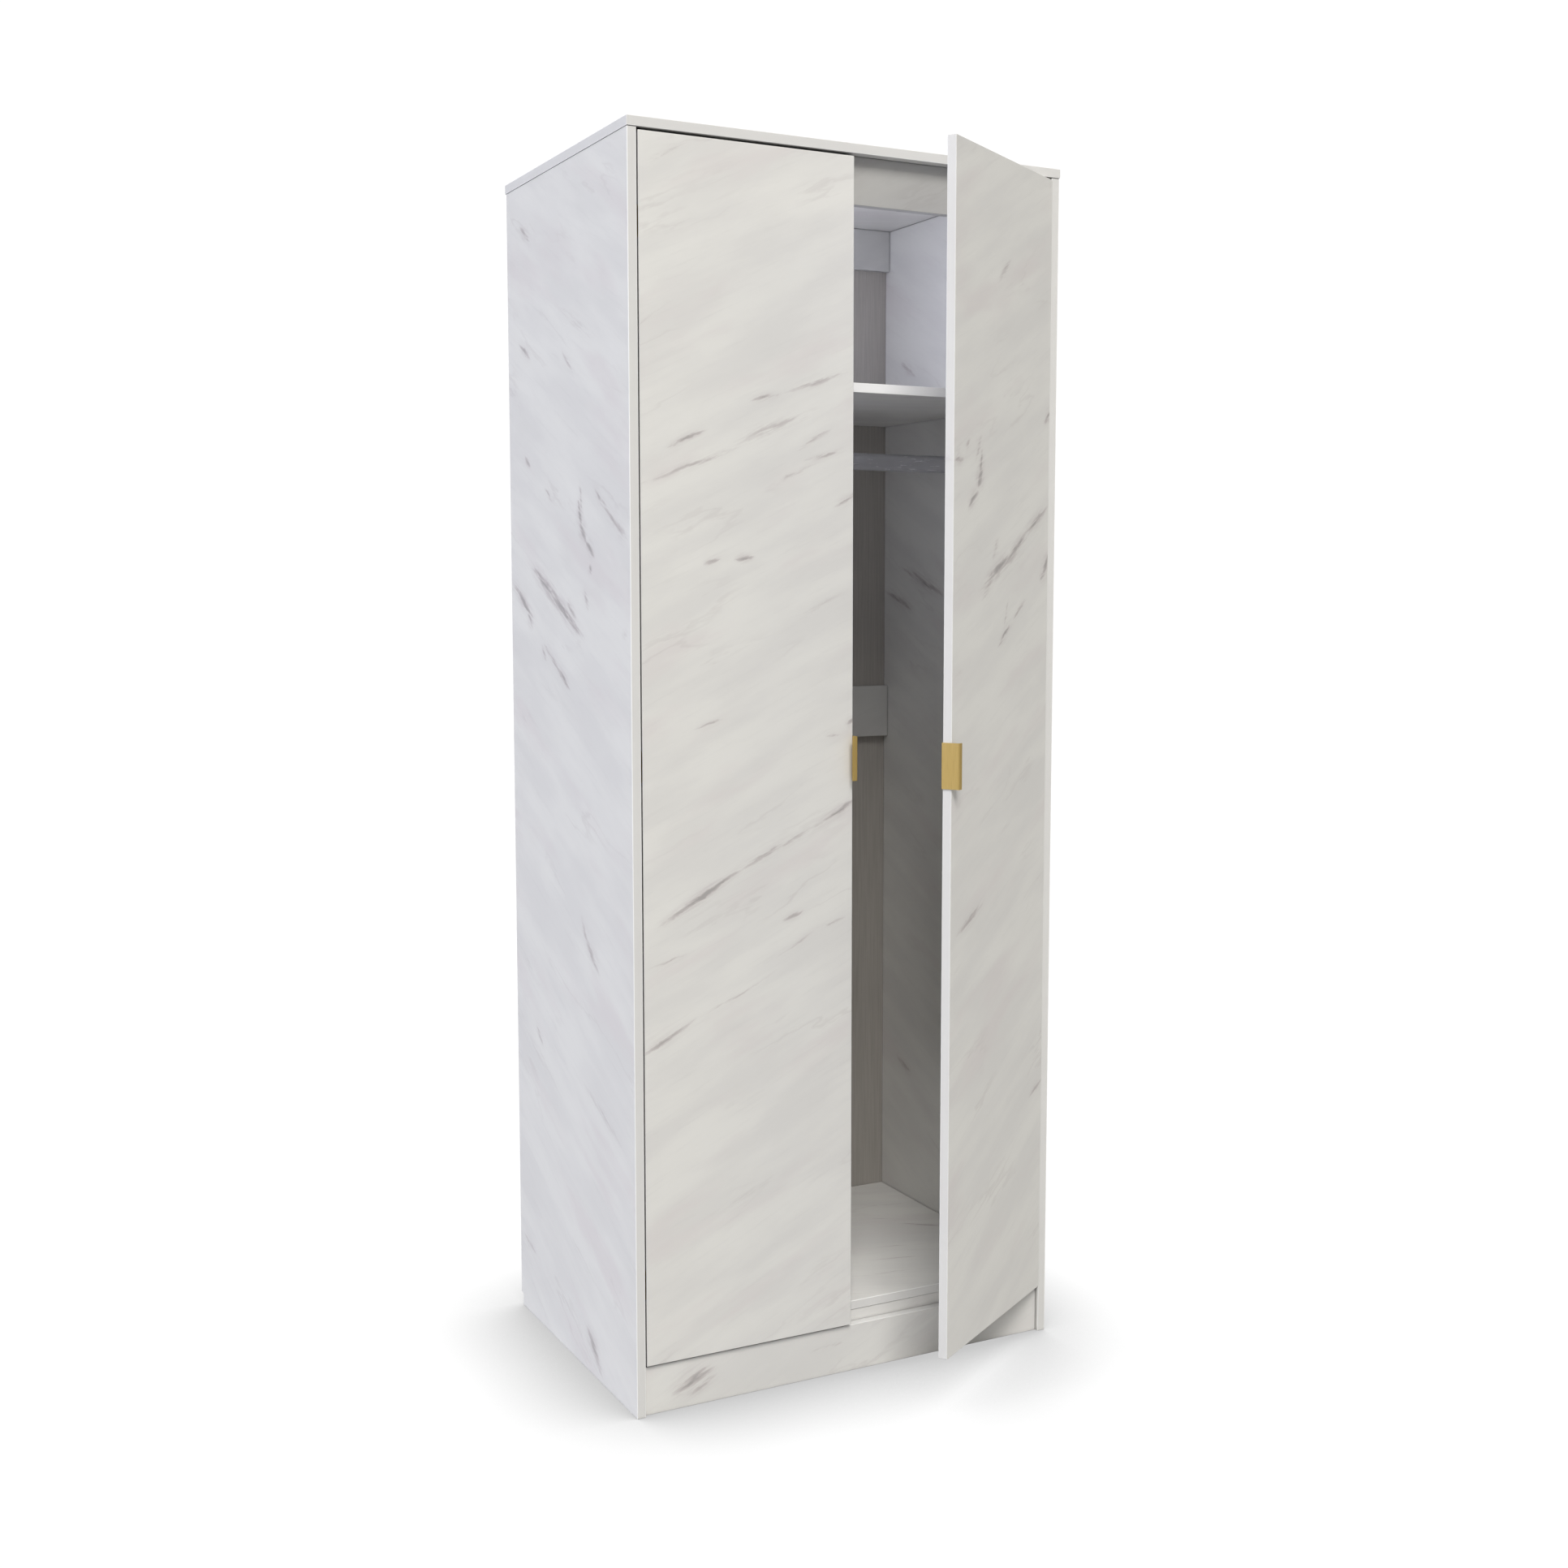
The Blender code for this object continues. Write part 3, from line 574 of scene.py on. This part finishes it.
RIGHT_SIDE_VEINS = (
    (0.439, 1.690, 0.080, 30, 0.0060, 0.60),
    (0.374, 1.297, 0.20, 20, 0.0080, 0.80),
    (0.461, 1.261, 0.13, 20, 0.0070, 0.75),
    (0.441, 0.369, 0.080, 24, 0.0060, 0.60),
)
PLINTH_VEINS = (
    (-0.285, 0.042, 0.10, 21, 0.0100, 0.80),
    (-0.270, 0.030, 0.07, 24, 0.0060, 0.60),
    (-0.043, 0.050, 0.09, 6, 0.0040, 0.35),
)
# On the floor panel the second value is how far back a vein is.
FLOOR_VEINS = (
    (0.307, 0.268, 0.090, -36, 0.0030, 0.80),
    (0.180, 0.140, 0.200, -14, 0.0030, 0.34),
    (0.220, 0.190, 0.160, -18, 0.0030, 0.30),
    (0.120, 0.090, 0.220, -10, 0.0040, 0.26),
    (0.260, 0.330, 0.100, -30, 0.0030, 0.30),
    (0.060, 0.170, 0.120, -20, 0.0030, 0.30),
)

# Each of these boards has its own seed, which sets it apart in the printed patterns.
DOORS = (
    ("left_door", 0.0, LEFT_DOOR_VEINS),
    ("right_door", 3.1, RIGHT_DOOR_VEINS),
)
SIDE_PANELS = (
    ("left_side_panel", 5.3, LEFT_SIDE_VEINS),
    ("right_side_panel", 8.9, RIGHT_SIDE_VEINS),
)
# The long narrow boards: seed, how much painted shade dims them all over, veins.
RAILS = (
    ("plinth_board", 11.3, 0.0, PLINTH_VEINS),
    ("plinth_front_rail", 12.3, 0.0, ()),
    ("plinth_rear_rail", 13.3, 0.0, ()),
    ("top_front_rail", 14.3, 0.46, ()),
    ("top_back_rail", 15.3, 0.26, ()),
    ("mid_back_rail", 16.3, 0.28, ()),
)
LEVEL_BOARDS = (
    ("top_panel", 21.7, EDGE_BAND, ()),
    ("shelf", 22.7, SHELF_BAND_PAINTED_LIGHT, ()),
    ("floor_panel", 23.7, EDGE_BAND, FLOOR_VEINS),
)


def thin_way(node, axis):
    """A board's thin axis and its middle on it."""
    low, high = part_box(node)
    return axis, (low[axis] + high[axis]) / 2


def add_upright_boards():
    """Boards that stand: doors, side panels, plinth and rails."""
    for node, seed, veins in DOORS:
        look = marble(node, UPRIGHT, (0.0, FRONT, 0.0), (Y, FRONT + BOARD / 2), seed, veins)
        add_board(node, look)
    for node, seed, veins in SIDE_PANELS:
        origin = (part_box(node)[0].x, 0.0, 0.0)
        look = marble(
            node, UPRIGHT, origin, thin_way(node, X), seed, veins, arris_highlight=PANEL_ARRIS_HIGHLIGHT
        )
        add_board(node, look)
    for node, seed, shaded, veins in RAILS:
        origin = (0.0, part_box(node)[0].y, 0.0)
        look = marble(node, UPRIGHT, origin, thin_way(node, Y), seed, veins, shaded=shaded)
        add_board(node, look)


def add_level_boards():
    """Boards that lie flat: top, shelf and floor."""
    for node, seed, edge, veins in LEVEL_BOARDS:
        origin = (0.0, 0.0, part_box(node)[1].z)
        look = marble(
            node, LEVEL, origin, thin_way(node, Z), seed, veins,
            tilt=LEVEL_TILT, arris_highlight=LEVEL_ARRIS_HIGHLIGHT, edge=edge,
        )
        add_board(node, look)


# ---------------------------------------------------------------- hardboard

TAUPE = (0.70, 0.682, 0.660)
TAUPE_GRAIN = (0.655, 0.637, 0.615)
RAW_BROWN = (0.50, 0.37, 0.26)
RAW_BROWN_DARK = (0.42, 0.30, 0.20)
SHEET_ROUGHNESS = 0.6
# Grains: marks to the metre each way, levels of detail, and how strong the finer levels are.
PRINT_GRAIN = ((620.0, 620.0, 9.0), 4.0, 0.65)
PRINT_RAMP = (0.38, 0.66)
RAW_GRAIN = ((180.0, 180.0, 180.0), 6.0, 0.7)
RAW_RAMP = (0.35, 0.65)
RAW_HEIGHT = 0.0001
# The print goes this far into the sheet, and has gone out at the second depth.
PRINT_DEPTHS = (0.0002, 0.0004)


def hardboard():
    """Printed with a fine upright grain on the inside, bare fibre behind."""
    material, tree, shader = new_material("back_sheet_hardboard", SHEET_ROUGHNESS)
    inner = blend(tree, ramp(tree, grained(tree, PRINT_GRAIN), *PRINT_RAMP), TAUPE, TAUPE_GRAIN)
    fibre = grained(tree, RAW_GRAIN)
    bare = blend(tree, ramp(tree, fibre, *RAW_RAMP), RAW_BROWN, RAW_BROWN_DARK)
    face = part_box("upper_back_sheet")[0].y
    print_from, print_to = [face + depth for depth in PRINT_DEPTHS]
    outward = ramp(tree, coordinate(tree, Y), print_from, print_to)
    tree.links.new(blend(tree, outward, inner, bare), shader.inputs["Base Color"])
    bump(tree, shader, fibre, RAW_HEIGHT)
    return material


def add_back_sheets():
    """The two hardboard sheets that close the back."""
    look = hardboard()
    for node in ("upper_back_sheet", "lower_back_sheet"):
        add_board(node, look)


# ---------------------------------------------------------------- small pieces' materials

GOLD = (0.79, 0.68, 0.42)
GOLD_WORN = (0.76, 0.65, 0.39)
CHROME = (0.80, 0.80, 0.82)
BRASS = (0.72, 0.64, 0.45)
ZINC = (0.70, 0.71, 0.73)
BEECH = (0.80, 0.66, 0.46)
CLEAR = (0.85, 0.85, 0.84)

# How metallic the softly shining plated pieces are.
PLATED = 0.6
GRAIN_RAMP = (0.3, 0.7)
ROUGHNESS_SPREAD = 0.15
# Grains, as for the hardboard.
BRUSHED_DOWN = ((600.0, 600.0, 30.0), 3.0, 0.5)
BRUSHED_ALONG = ((30.0, 600.0, 600.0), 3.0, 0.5)
BRUSH_HEIGHT = 0.00002
WOOD_GRAIN = ((300.0, 300.0, 300.0), 4.0, 0.5)
RUBBER_GRAIN = ((500.0, 500.0, 500.0), 4.0, 0.5)
GRAIN_HEIGHT = 0.00005
GOLD_ROUGHNESS = 0.46
BRASS_ROUGHNESS = 0.36
ZINC_ROUGHNESS = 0.34
CHROME_ROUGHNESS = 0.24
BEECH_ROUGHNESS = 0.6
RUBBER_ROUGHNESS = 0.4


def colour_with_grain(tree, shader, grain, colour, second):
    """Two colours mixed by a grain, or the first alone where there is no second."""
    if second is None:
        shader.inputs["Base Color"].default_value = rgba(colour)
    else:
        mixed = blend(tree, ramp(tree, grain, *GRAIN_RAMP), colour, second)
        tree.links.new(mixed, shader.inputs["Base Color"])


def metal(name, colour, second, roughness, brush=BRUSHED_DOWN, metallic=1.0):
    """Metal with a faint brushed grain."""
    material, tree, shader = new_material(name, metallic=metallic)
    grain = grained(tree, brush)
    colour_with_grain(tree, shader, grain, colour, second)
    smoothest, roughest = roughness * (1 - ROUGHNESS_SPREAD), roughness * (1 + ROUGHNESS_SPREAD)
    rough = ramp(tree, grain, *GRAIN_RAMP, smoothest, roughest)
    tree.links.new(rough, shader.inputs["Roughness"])
    bump(tree, shader, grain, BRUSH_HEIGHT)
    return material


def dull(name, colour, second, roughness, own_grain):
    """Wood or rubber with a fine grain."""
    material, tree, shader = new_material(name, roughness)
    grain = grained(tree, own_grain)
    colour_with_grain(tree, shader, grain, colour, second)
    bump(tree, shader, grain, GRAIN_HEIGHT)
    return material


def repaint(names, material):
    """Gives CAD nodes a better material."""
    for name in names:
        node = frame["nodes"][name]
        node.data.materials.clear()
        node.data.materials.append(material)


def nodes_in(slot):
    """The CAD nodes that have a material slot."""
    return [name for name, own in SLOT_OF.items() if own == slot]


# ---------------------------------------------------------------- small pieces

LEFTWARD = Vector((-1.0, 0.0, 0.0))
RIGHTWARD = Vector((1.0, 0.0, 0.0))
INWARD = Vector((0.0, 1.0, 0.0))

OVAL_STEPS = 20
RAIL_WALL = 0.0012
RAIL_BREAK = 0.0003
HANDLE_ROUND = 0.00025
SOCKET_ROUND = 0.0004

TURNED_SIDES = 28
SHANK_RADIUS = 0.0015
POINT_RADIUS = 0.0002
POINT_LENGTH = 0.002
PAN_RADIUS = 0.0035
PAN_HEIGHT = 0.0012
PAN_RECESS_DEPTH = 0.0007
# From the head's seat to its crown, as shares of its radius and height.
PAN_PROFILE = ((1.0, 0.0), (1.0, 0.25), (0.93, 0.62), (0.76, 0.88), (0.55, 1.0))
LEAF_SCREW_RADIUS = 0.0030
LEAF_SCREW_OFFSET = 0.0165
LEAF_SCREW_SINK = 0.0012
LEAF_SCREW_PROUD = 0.00015
# Shares of a leaf screw's radius at its sunk base and at its crown.
LEAF_SCREW_BASE = 0.45
LEAF_SCREW_CROWN = 0.92
# A cross recess: how far its arms reach and half their width, as shares of the head's radius.
PAN_RECESS = (0.40, 0.11)
LEAF_RECESS = (0.55, 0.12)
RECESS_TAPER = 0.75

DOME_STEPS = 8
# A bumper's rounded rim, as a share of its radius, and its straight side, as a share of its height.
DOME_SHARE = 0.55
DOME_SIDE = 0.3


def add_softened(node, material, round_off):
    """A pressed or folded metal piece with its cut edges rounded."""
    bm = shut_mesh(node)
    cut_edges = [
        edge for edge in bm.edges if len(edge.link_faces) == 2 and edge.calc_face_angle() > SHARP
    ]
    bmesh.ops.bevel(
        bm, geom=cut_edges, offset=round_off, segments=SOFTEN_STEPS, profile=0.5, affect="EDGES",
        clamp_overlap=True,
    )
    mesh = make_closed_mesh(node + "_softened", bm)
    even_faces(add_piece(node + "_piece", mesh, node, material, (node,)))


def add_ring(bm, points):
    """New corners, in order round a ring."""
    return [bm.verts.new(point) for point in points]


def add_walls(bm, first, second):
    """A band of faces between two rings with as many corners."""
    for i in range(len(first)):
        j = (i + 1) % len(first)
        bm.faces.new((first[i], first[j], second[j], second[i]))


def ring_edges(bm, ring):
    """The edges round a ring."""
    return [bm.edges.get(pair) for pair in zip(ring, ring[1:] + ring[:1])]


def stadium(wide, tall):
    """Points round an upright slot shape, in its own plane."""
    radius = wide / 2
    rise = tall / 2 - radius
    points = []
    for middle, start in ((rise, 0.0), (-rise, math.pi)):
        for step in range(OVAL_STEPS + 1):
            angle = start + math.pi * step / OVAL_STEPS
            points.append((radius * math.cos(angle), middle + radius * math.sin(angle)))
    return points


def add_rail():
    """The hanging rail: a chromed oval tube with its cut ends just broken."""
    low, high = shut_box("hanging_rail")
    middle = (low + high) / 2
    wide, tall = high.y - low.y, high.z - low.z
    places = (
        (low.x, RAIL_WALL),
        (low.x, RAIL_BREAK),
        (low.x + RAIL_BREAK, 0.0),
        (high.x - RAIL_BREAK, 0.0),
        (high.x, RAIL_BREAK),
        (high.x, RAIL_WALL),
    )
    bm = bmesh.new()
    rings = []
    for x, inset in places:
        outline = stadium(wide - 2 * inset, tall - 2 * inset)
        rings.append(add_ring(bm, [(x, middle.y + y, middle.z + z) for y, z in outline]))
    for first, second in zip(rings, rings[1:] + rings[:1]):
        add_walls(bm, first, second)
    mesh = make_closed_mesh("hanging_rail_tube", bm)
    chrome = metal("rail_chrome", CHROME, None, CHROME_ROUGHNESS, BRUSHED_ALONG, PLATED)
    add_piece("hanging_rail_tube", mesh, "hanging_rail", chrome, ("hanging_rail",))
    return chrome


def turned(bm, profile):
    """Rings round the Z axis, one for each radius and height of a profile, with walls between them."""
    rings = []
    for radius, height in profile:
        angles = [2 * math.pi * side / TURNED_SIDES for side in range(TURNED_SIDES)]
        points = [(radius * math.cos(angle), radius * math.sin(angle), height) for angle in angles]
        rings.append(add_ring(bm, points))
    for lower, upper in zip(rings, rings[1:]):
        add_walls(bm, lower, upper)
    return rings


def cross_outline(reach, half_width):
    """The twelve corners of a cross recess."""
    corners = []
    for quarter in range(4):
        turn = quarter * math.pi / 2
        for x, y in ((half_width, half_width), (half_width, reach), (-half_width, reach)):
            corners.append(
                (x * math.cos(turn) - y * math.sin(turn), x * math.sin(turn) + y * math.cos(turn))
            )
    return corners


def placed(mesh, seat, direction):
    """Moves a shape that stands on the origin to its seat, facing a direction."""
    facing = direction.to_track_quat("Z", "Y").to_matrix().to_4x4()
    mesh.transform(Matrix.Translation(seat) @ facing)
    return mesh


def screw_mesh(name, profile, radius, recess, recess_depth):
    """A turned screw with a cross recess. The profile runs up to the crown's rim."""
    bm = bmesh.new()
    rings = turned(bm, profile)
    bm.faces.new(rings[0][::-1])
    crown = profile[-1][1]
    outline = cross_outline(*[share * radius for share in recess])
    mouth = add_ring(bm, [(x, y, crown) for x, y in outline])
    bottom = crown - recess_depth
    floor = add_ring(bm, [(RECESS_TAPER * x, RECESS_TAPER * y, bottom) for x, y in outline])
    add_walls(bm, mouth, floor)
    bm.faces.new(floor)
    bmesh.ops.triangle_fill(bm, use_beauty=True, edges=ring_edges(bm, rings[-1]) + ring_edges(bm, mouth))
    return make_closed_mesh(name, bm)


def add_pan_screw(node, direction, material):
    """A pan-headed screw, its head toward a direction: a domed head with a cross recess on a shank."""
    low, high = shut_box(node)
    axis = max((X, Y, Z), key=lambda i: abs(direction[i]))
    crown, tip = (high, low) if direction[axis] > 0 else (low, high)
    seat = (low + high) / 2
    seat[axis] = crown[axis] - direction[axis] * PAN_HEIGHT
    length = abs(tip[axis] - seat[axis])
    shank = ((POINT_RADIUS, -length), (SHANK_RADIUS, -length + POINT_LENGTH), (SHANK_RADIUS, 0.0))
    head = tuple((spread * PAN_RADIUS, rise * PAN_HEIGHT) for spread, rise in PAN_PROFILE)
    mesh = screw_mesh(node + "_turned", shank + head, PAN_RADIUS, PAN_RECESS, PAN_RECESS_DEPTH)
    add_piece(node + "_turned", placed(mesh, seat, direction), node, material, (node,))


def add_leaf_screws(node, material):
    """Two countersunk screws in a hinge leaf, flush with the board that it is let into."""
    low, high = shut_box(node)
    middle = (low + high) / 2
    faces_right = node.startswith("left") == node.endswith("side_leaf")
    direction, face = (RIGHTWARD, high.x) if faces_right else (LEFTWARD, low.x)
    profile = (
        (LEAF_SCREW_BASE * LEAF_SCREW_RADIUS, -LEAF_SCREW_SINK),
        (LEAF_SCREW_RADIUS, 0.0),
        (LEAF_SCREW_CROWN * LEAF_SCREW_RADIUS, LEAF_SCREW_PROUD),
    )
    for row, step in (("upper", 1), ("lower", -1)):
        seat = Vector((face, middle.y, middle.z + step * LEAF_SCREW_OFFSET))
        name = node + "_screw_" + row
        mesh = screw_mesh(name, profile, LEAF_SCREW_RADIUS, LEAF_RECESS, LEAF_SCREW_SINK / 2)
        add_piece(name, placed(mesh, seat, direction), node, material)


def add_bumper(node, material):
    """A soft clear dome on the inside of a door."""
    low, high = shut_box(node)
    middle = (low + high) / 2
    radius, thick = (high.x - low.x) / 2, high.y - low.y
    profile = [(radius, 0.0)]
    for step in range(DOME_STEPS + 1):
        angle = math.pi / 2 * step / DOME_STEPS
        spread = radius * (1.0 - DOME_SHARE + DOME_SHARE * math.cos(angle))
        profile.append((spread, thick * (DOME_SIDE + (1.0 - DOME_SIDE) * math.sin(angle))))
    bm = bmesh.new()
    rings = turned(bm, profile)
    bm.faces.new(rings[0])
    bm.faces.new(rings[-1])
    mesh = make_closed_mesh(node + "_dome", bm)
    seat = Vector((middle.x, low.y, middle.z))
    add_piece(node + "_dome", placed(mesh, seat, INWARD), node, material, (node,))


def add_small_pieces():
    """Rail, sockets, pulls, screws, hinges, dowels and bumpers."""
    gold = metal("pull_gold", GOLD, GOLD_WORN, GOLD_ROUGHNESS, metallic=PLATED)
    brass = metal("hinge_brass", BRASS, GOLD_WORN, BRASS_ROUGHNESS)
    zinc = metal("zinc_plate", ZINC, CHROME, ZINC_ROUGHNESS)
    chrome = add_rail()
    for node in ("left_handle", "right_handle"):
        add_softened(node, gold, HANDLE_ROUND)
    for node in ("left_rail_socket", "right_rail_socket"):
        add_softened(node, chrome, SOCKET_ROUND)
    for node in nodes_in("pull_gold"):
        if "screw" in node:
            add_pan_screw(node, INWARD, gold)
    for node in nodes_in("zinc_plate"):
        add_pan_screw(node, RIGHTWARD if node.startswith("left") else LEFTWARD, zinc)
    repaint(nodes_in("hinge_brass"), brass)
    for node in nodes_in("hinge_brass"):
        if node.endswith("leaf"):
            add_leaf_screws(node, brass)
    beech = dull("beech_dowel", BEECH, RAW_BROWN, BEECH_ROUGHNESS, WOOD_GRAIN)
    repaint(nodes_in("beech_dowel"), beech)
    rubber = dull("clear_rubber", CLEAR, None, RUBBER_ROUGHNESS, RUBBER_GRAIN)
    for node in ("left_door_bumper", "right_door_bumper"):
        add_bumper(node, rubber)


# ---------------------------------------------------------------- stage

SENSOR = 36.0
LENS = 42.70
CAMERA_PLACE = (-1.4534, -2.5892, 1.2810)
CAMERA_TURN = (84.5765, 0.0, -27.596)
CAMERA_SHIFT = (-0.00688, -0.01064)

BACKDROP_WHITE = 1.05
WORLD_COLOUR = (0.96, 0.975, 1.0, 1.0)
WORLD_LIGHT = 0.33
FLOOR_REACH = 30.0
FLOOR_BOUNCE = 0.45
# The floor's glow darkens towards this, as a painted shadow, where things nearer than the reach close it in.
CONTACT_SHADE = 0.56
CONTACT_REACH = 0.25
CONTACT_SAMPLES = 16
CONTACT_OPENNESS = (0.45, 0.97)

WARDROBE_MIDDLE = (0.0, 0.1, 1.0)
# Lights: name, point lit, direction from it to the light, distance, width, watts, colour.
STUDIO_LIGHTS = (
    ("side", WARDROBE_MIDDLE, (-0.93, 0.30, 0.20), 20.0, 8.0, 2080.0, (0.83, 0.86, 1.0)),
    ("front", WARDROBE_MIDDLE, (-0.20, -0.63, 0.75), 20.0, 8.0, 3250.0, (1.0, 0.978, 0.935)),
    ("warm", WARDROBE_MIDDLE, (0.75, -0.50, 0.43), 20.0, 6.0, 330.0, (1.0, 0.90, 0.66)),
)
# The same for the faint lights inside the wardrobe, which nothing reflects.
INNER_LIGHTS = (
    ("upper_fill", (0.3, 0.3, 1.78), (-1.0, -0.25, 0.0), 0.40, 0.2, 0.9, (0.82, 0.85, 1.0)),
    ("shelf_fill", (0.2, 0.25, 1.59), (-0.35, -0.05, -0.24), 0.43, 0.25, 0.3, (0.85, 0.88, 1.0)),
    ("lower_fill", (0.12, 0.09, 0.11), (0.0, 0.0, 1.0), 0.35, 0.14, 0.17, (1.0, 1.0, 1.0)),
)


def add_camera():
    """The camera, from the front left and a little above the middle."""
    data = bpy.data.cameras.new("camera")
    data.sensor_width = SENSOR
    data.lens = LENS
    data.shift_x, data.shift_y = CAMERA_SHIFT
    camera = bpy.data.objects.new("camera", data)
    bpy.context.scene.collection.objects.link(camera)
    camera.location = CAMERA_PLACE
    camera.rotation_euler = [math.radians(angle) for angle in CAMERA_TURN]
    bpy.context.scene.camera = camera


def shown_and_lit(tree, shown, lit):
    """One shader for what the camera sees, and another for what lights the room."""
    seen = add_node(tree, "ShaderNodeLightPath").outputs["Is Camera Ray"]
    inputs = {0: seen, 1: lit.outputs[0], 2: shown.outputs[0]}
    return add_node(tree, "ShaderNodeMixShader", inputs).outputs[0]


def add_floor():
    """A plain white floor that glows for the camera, with a painted shadow round whatever stands on it."""
    bm = bmesh.new()
    bmesh.ops.create_grid(bm, x_segments=2, y_segments=2, size=FLOOR_REACH)
    mesh = bpy.data.meshes.new("studio_floor")
    bm.to_mesh(mesh)
    bm.free()
    material = bpy.data.materials.new("studio_floor")
    material.use_nodes = True
    tree = material.node_tree
    tree.nodes.clear()
    inputs = {"Distance": CONTACT_REACH}
    near = add_node(tree, "ShaderNodeAmbientOcclusion", inputs, samples=CONTACT_SAMPLES).outputs["AO"]
    shade = ramp(tree, near, *CONTACT_OPENNESS, CONTACT_SHADE, BACKDROP_WHITE, smooth=False)
    shown = add_node(tree, "ShaderNodeEmission", {"Strength": shade})
    bounce = add_node(tree, "ShaderNodeBsdfDiffuse", {"Color": (FLOOR_BOUNCE,) * 3 + (1.0,)})
    add_node(tree, "ShaderNodeOutputMaterial", {"Surface": shown_and_lit(tree, shown, bounce)})
    mesh.materials.append(material)
    floor = bpy.data.objects.new("studio_floor", mesh)
    bpy.context.scene.collection.objects.link(floor)
    floor.location.z = CAD_BOX[0].z


def add_world():
    """Even, faintly cool light from all round, with a plain white backdrop."""
    world = bpy.data.worlds.new("studio")
    bpy.context.scene.world = world
    world.use_nodes = True
    tree = world.node_tree
    tree.nodes.clear()
    light = add_node(tree, "ShaderNodeBackground", {"Color": WORLD_COLOUR, "Strength": WORLD_LIGHT})
    white = {"Color": (1.0, 1.0, 1.0, 1.0), "Strength": BACKDROP_WHITE}
    backdrop = add_node(tree, "ShaderNodeBackground", white)
    add_node(tree, "ShaderNodeOutputWorld", {"Surface": shown_and_lit(tree, backdrop, light)})


def add_lights(lights, reflected):
    """Soft square lights, each out along a direction from the point that it lights."""
    for name, aim, direction, distance, size, power, colour in lights:
        data = bpy.data.lights.new(name, "AREA")
        data.shape = "SQUARE"
        data.size = size
        data.energy = power
        data.color = colour
        light = bpy.data.objects.new(name, data)
        bpy.context.scene.collection.objects.link(light)
        outward = Vector(direction).normalized()
        light.location = Vector(aim) + outward * distance
        light.rotation_euler = outward.to_track_quat("Z", "Y").to_euler()
        light.visible_camera = False
        light.visible_glossy = reflected


def set_colours():
    """Colours come out as given, and the grain of the light is smoothed."""
    scene = bpy.context.scene
    scene.view_settings.view_transform = "Standard"
    scene.cycles.use_denoising = True


# ---------------------------------------------------------------- build

add_small_pieces()
add_upright_boards()
add_level_boards()
add_back_sheets()
add_camera()
add_floor()
add_world()
add_lights(STUDIO_LIGHTS, reflected=True)
add_lights(INNER_LIGHTS, reflected=False)
set_colours()
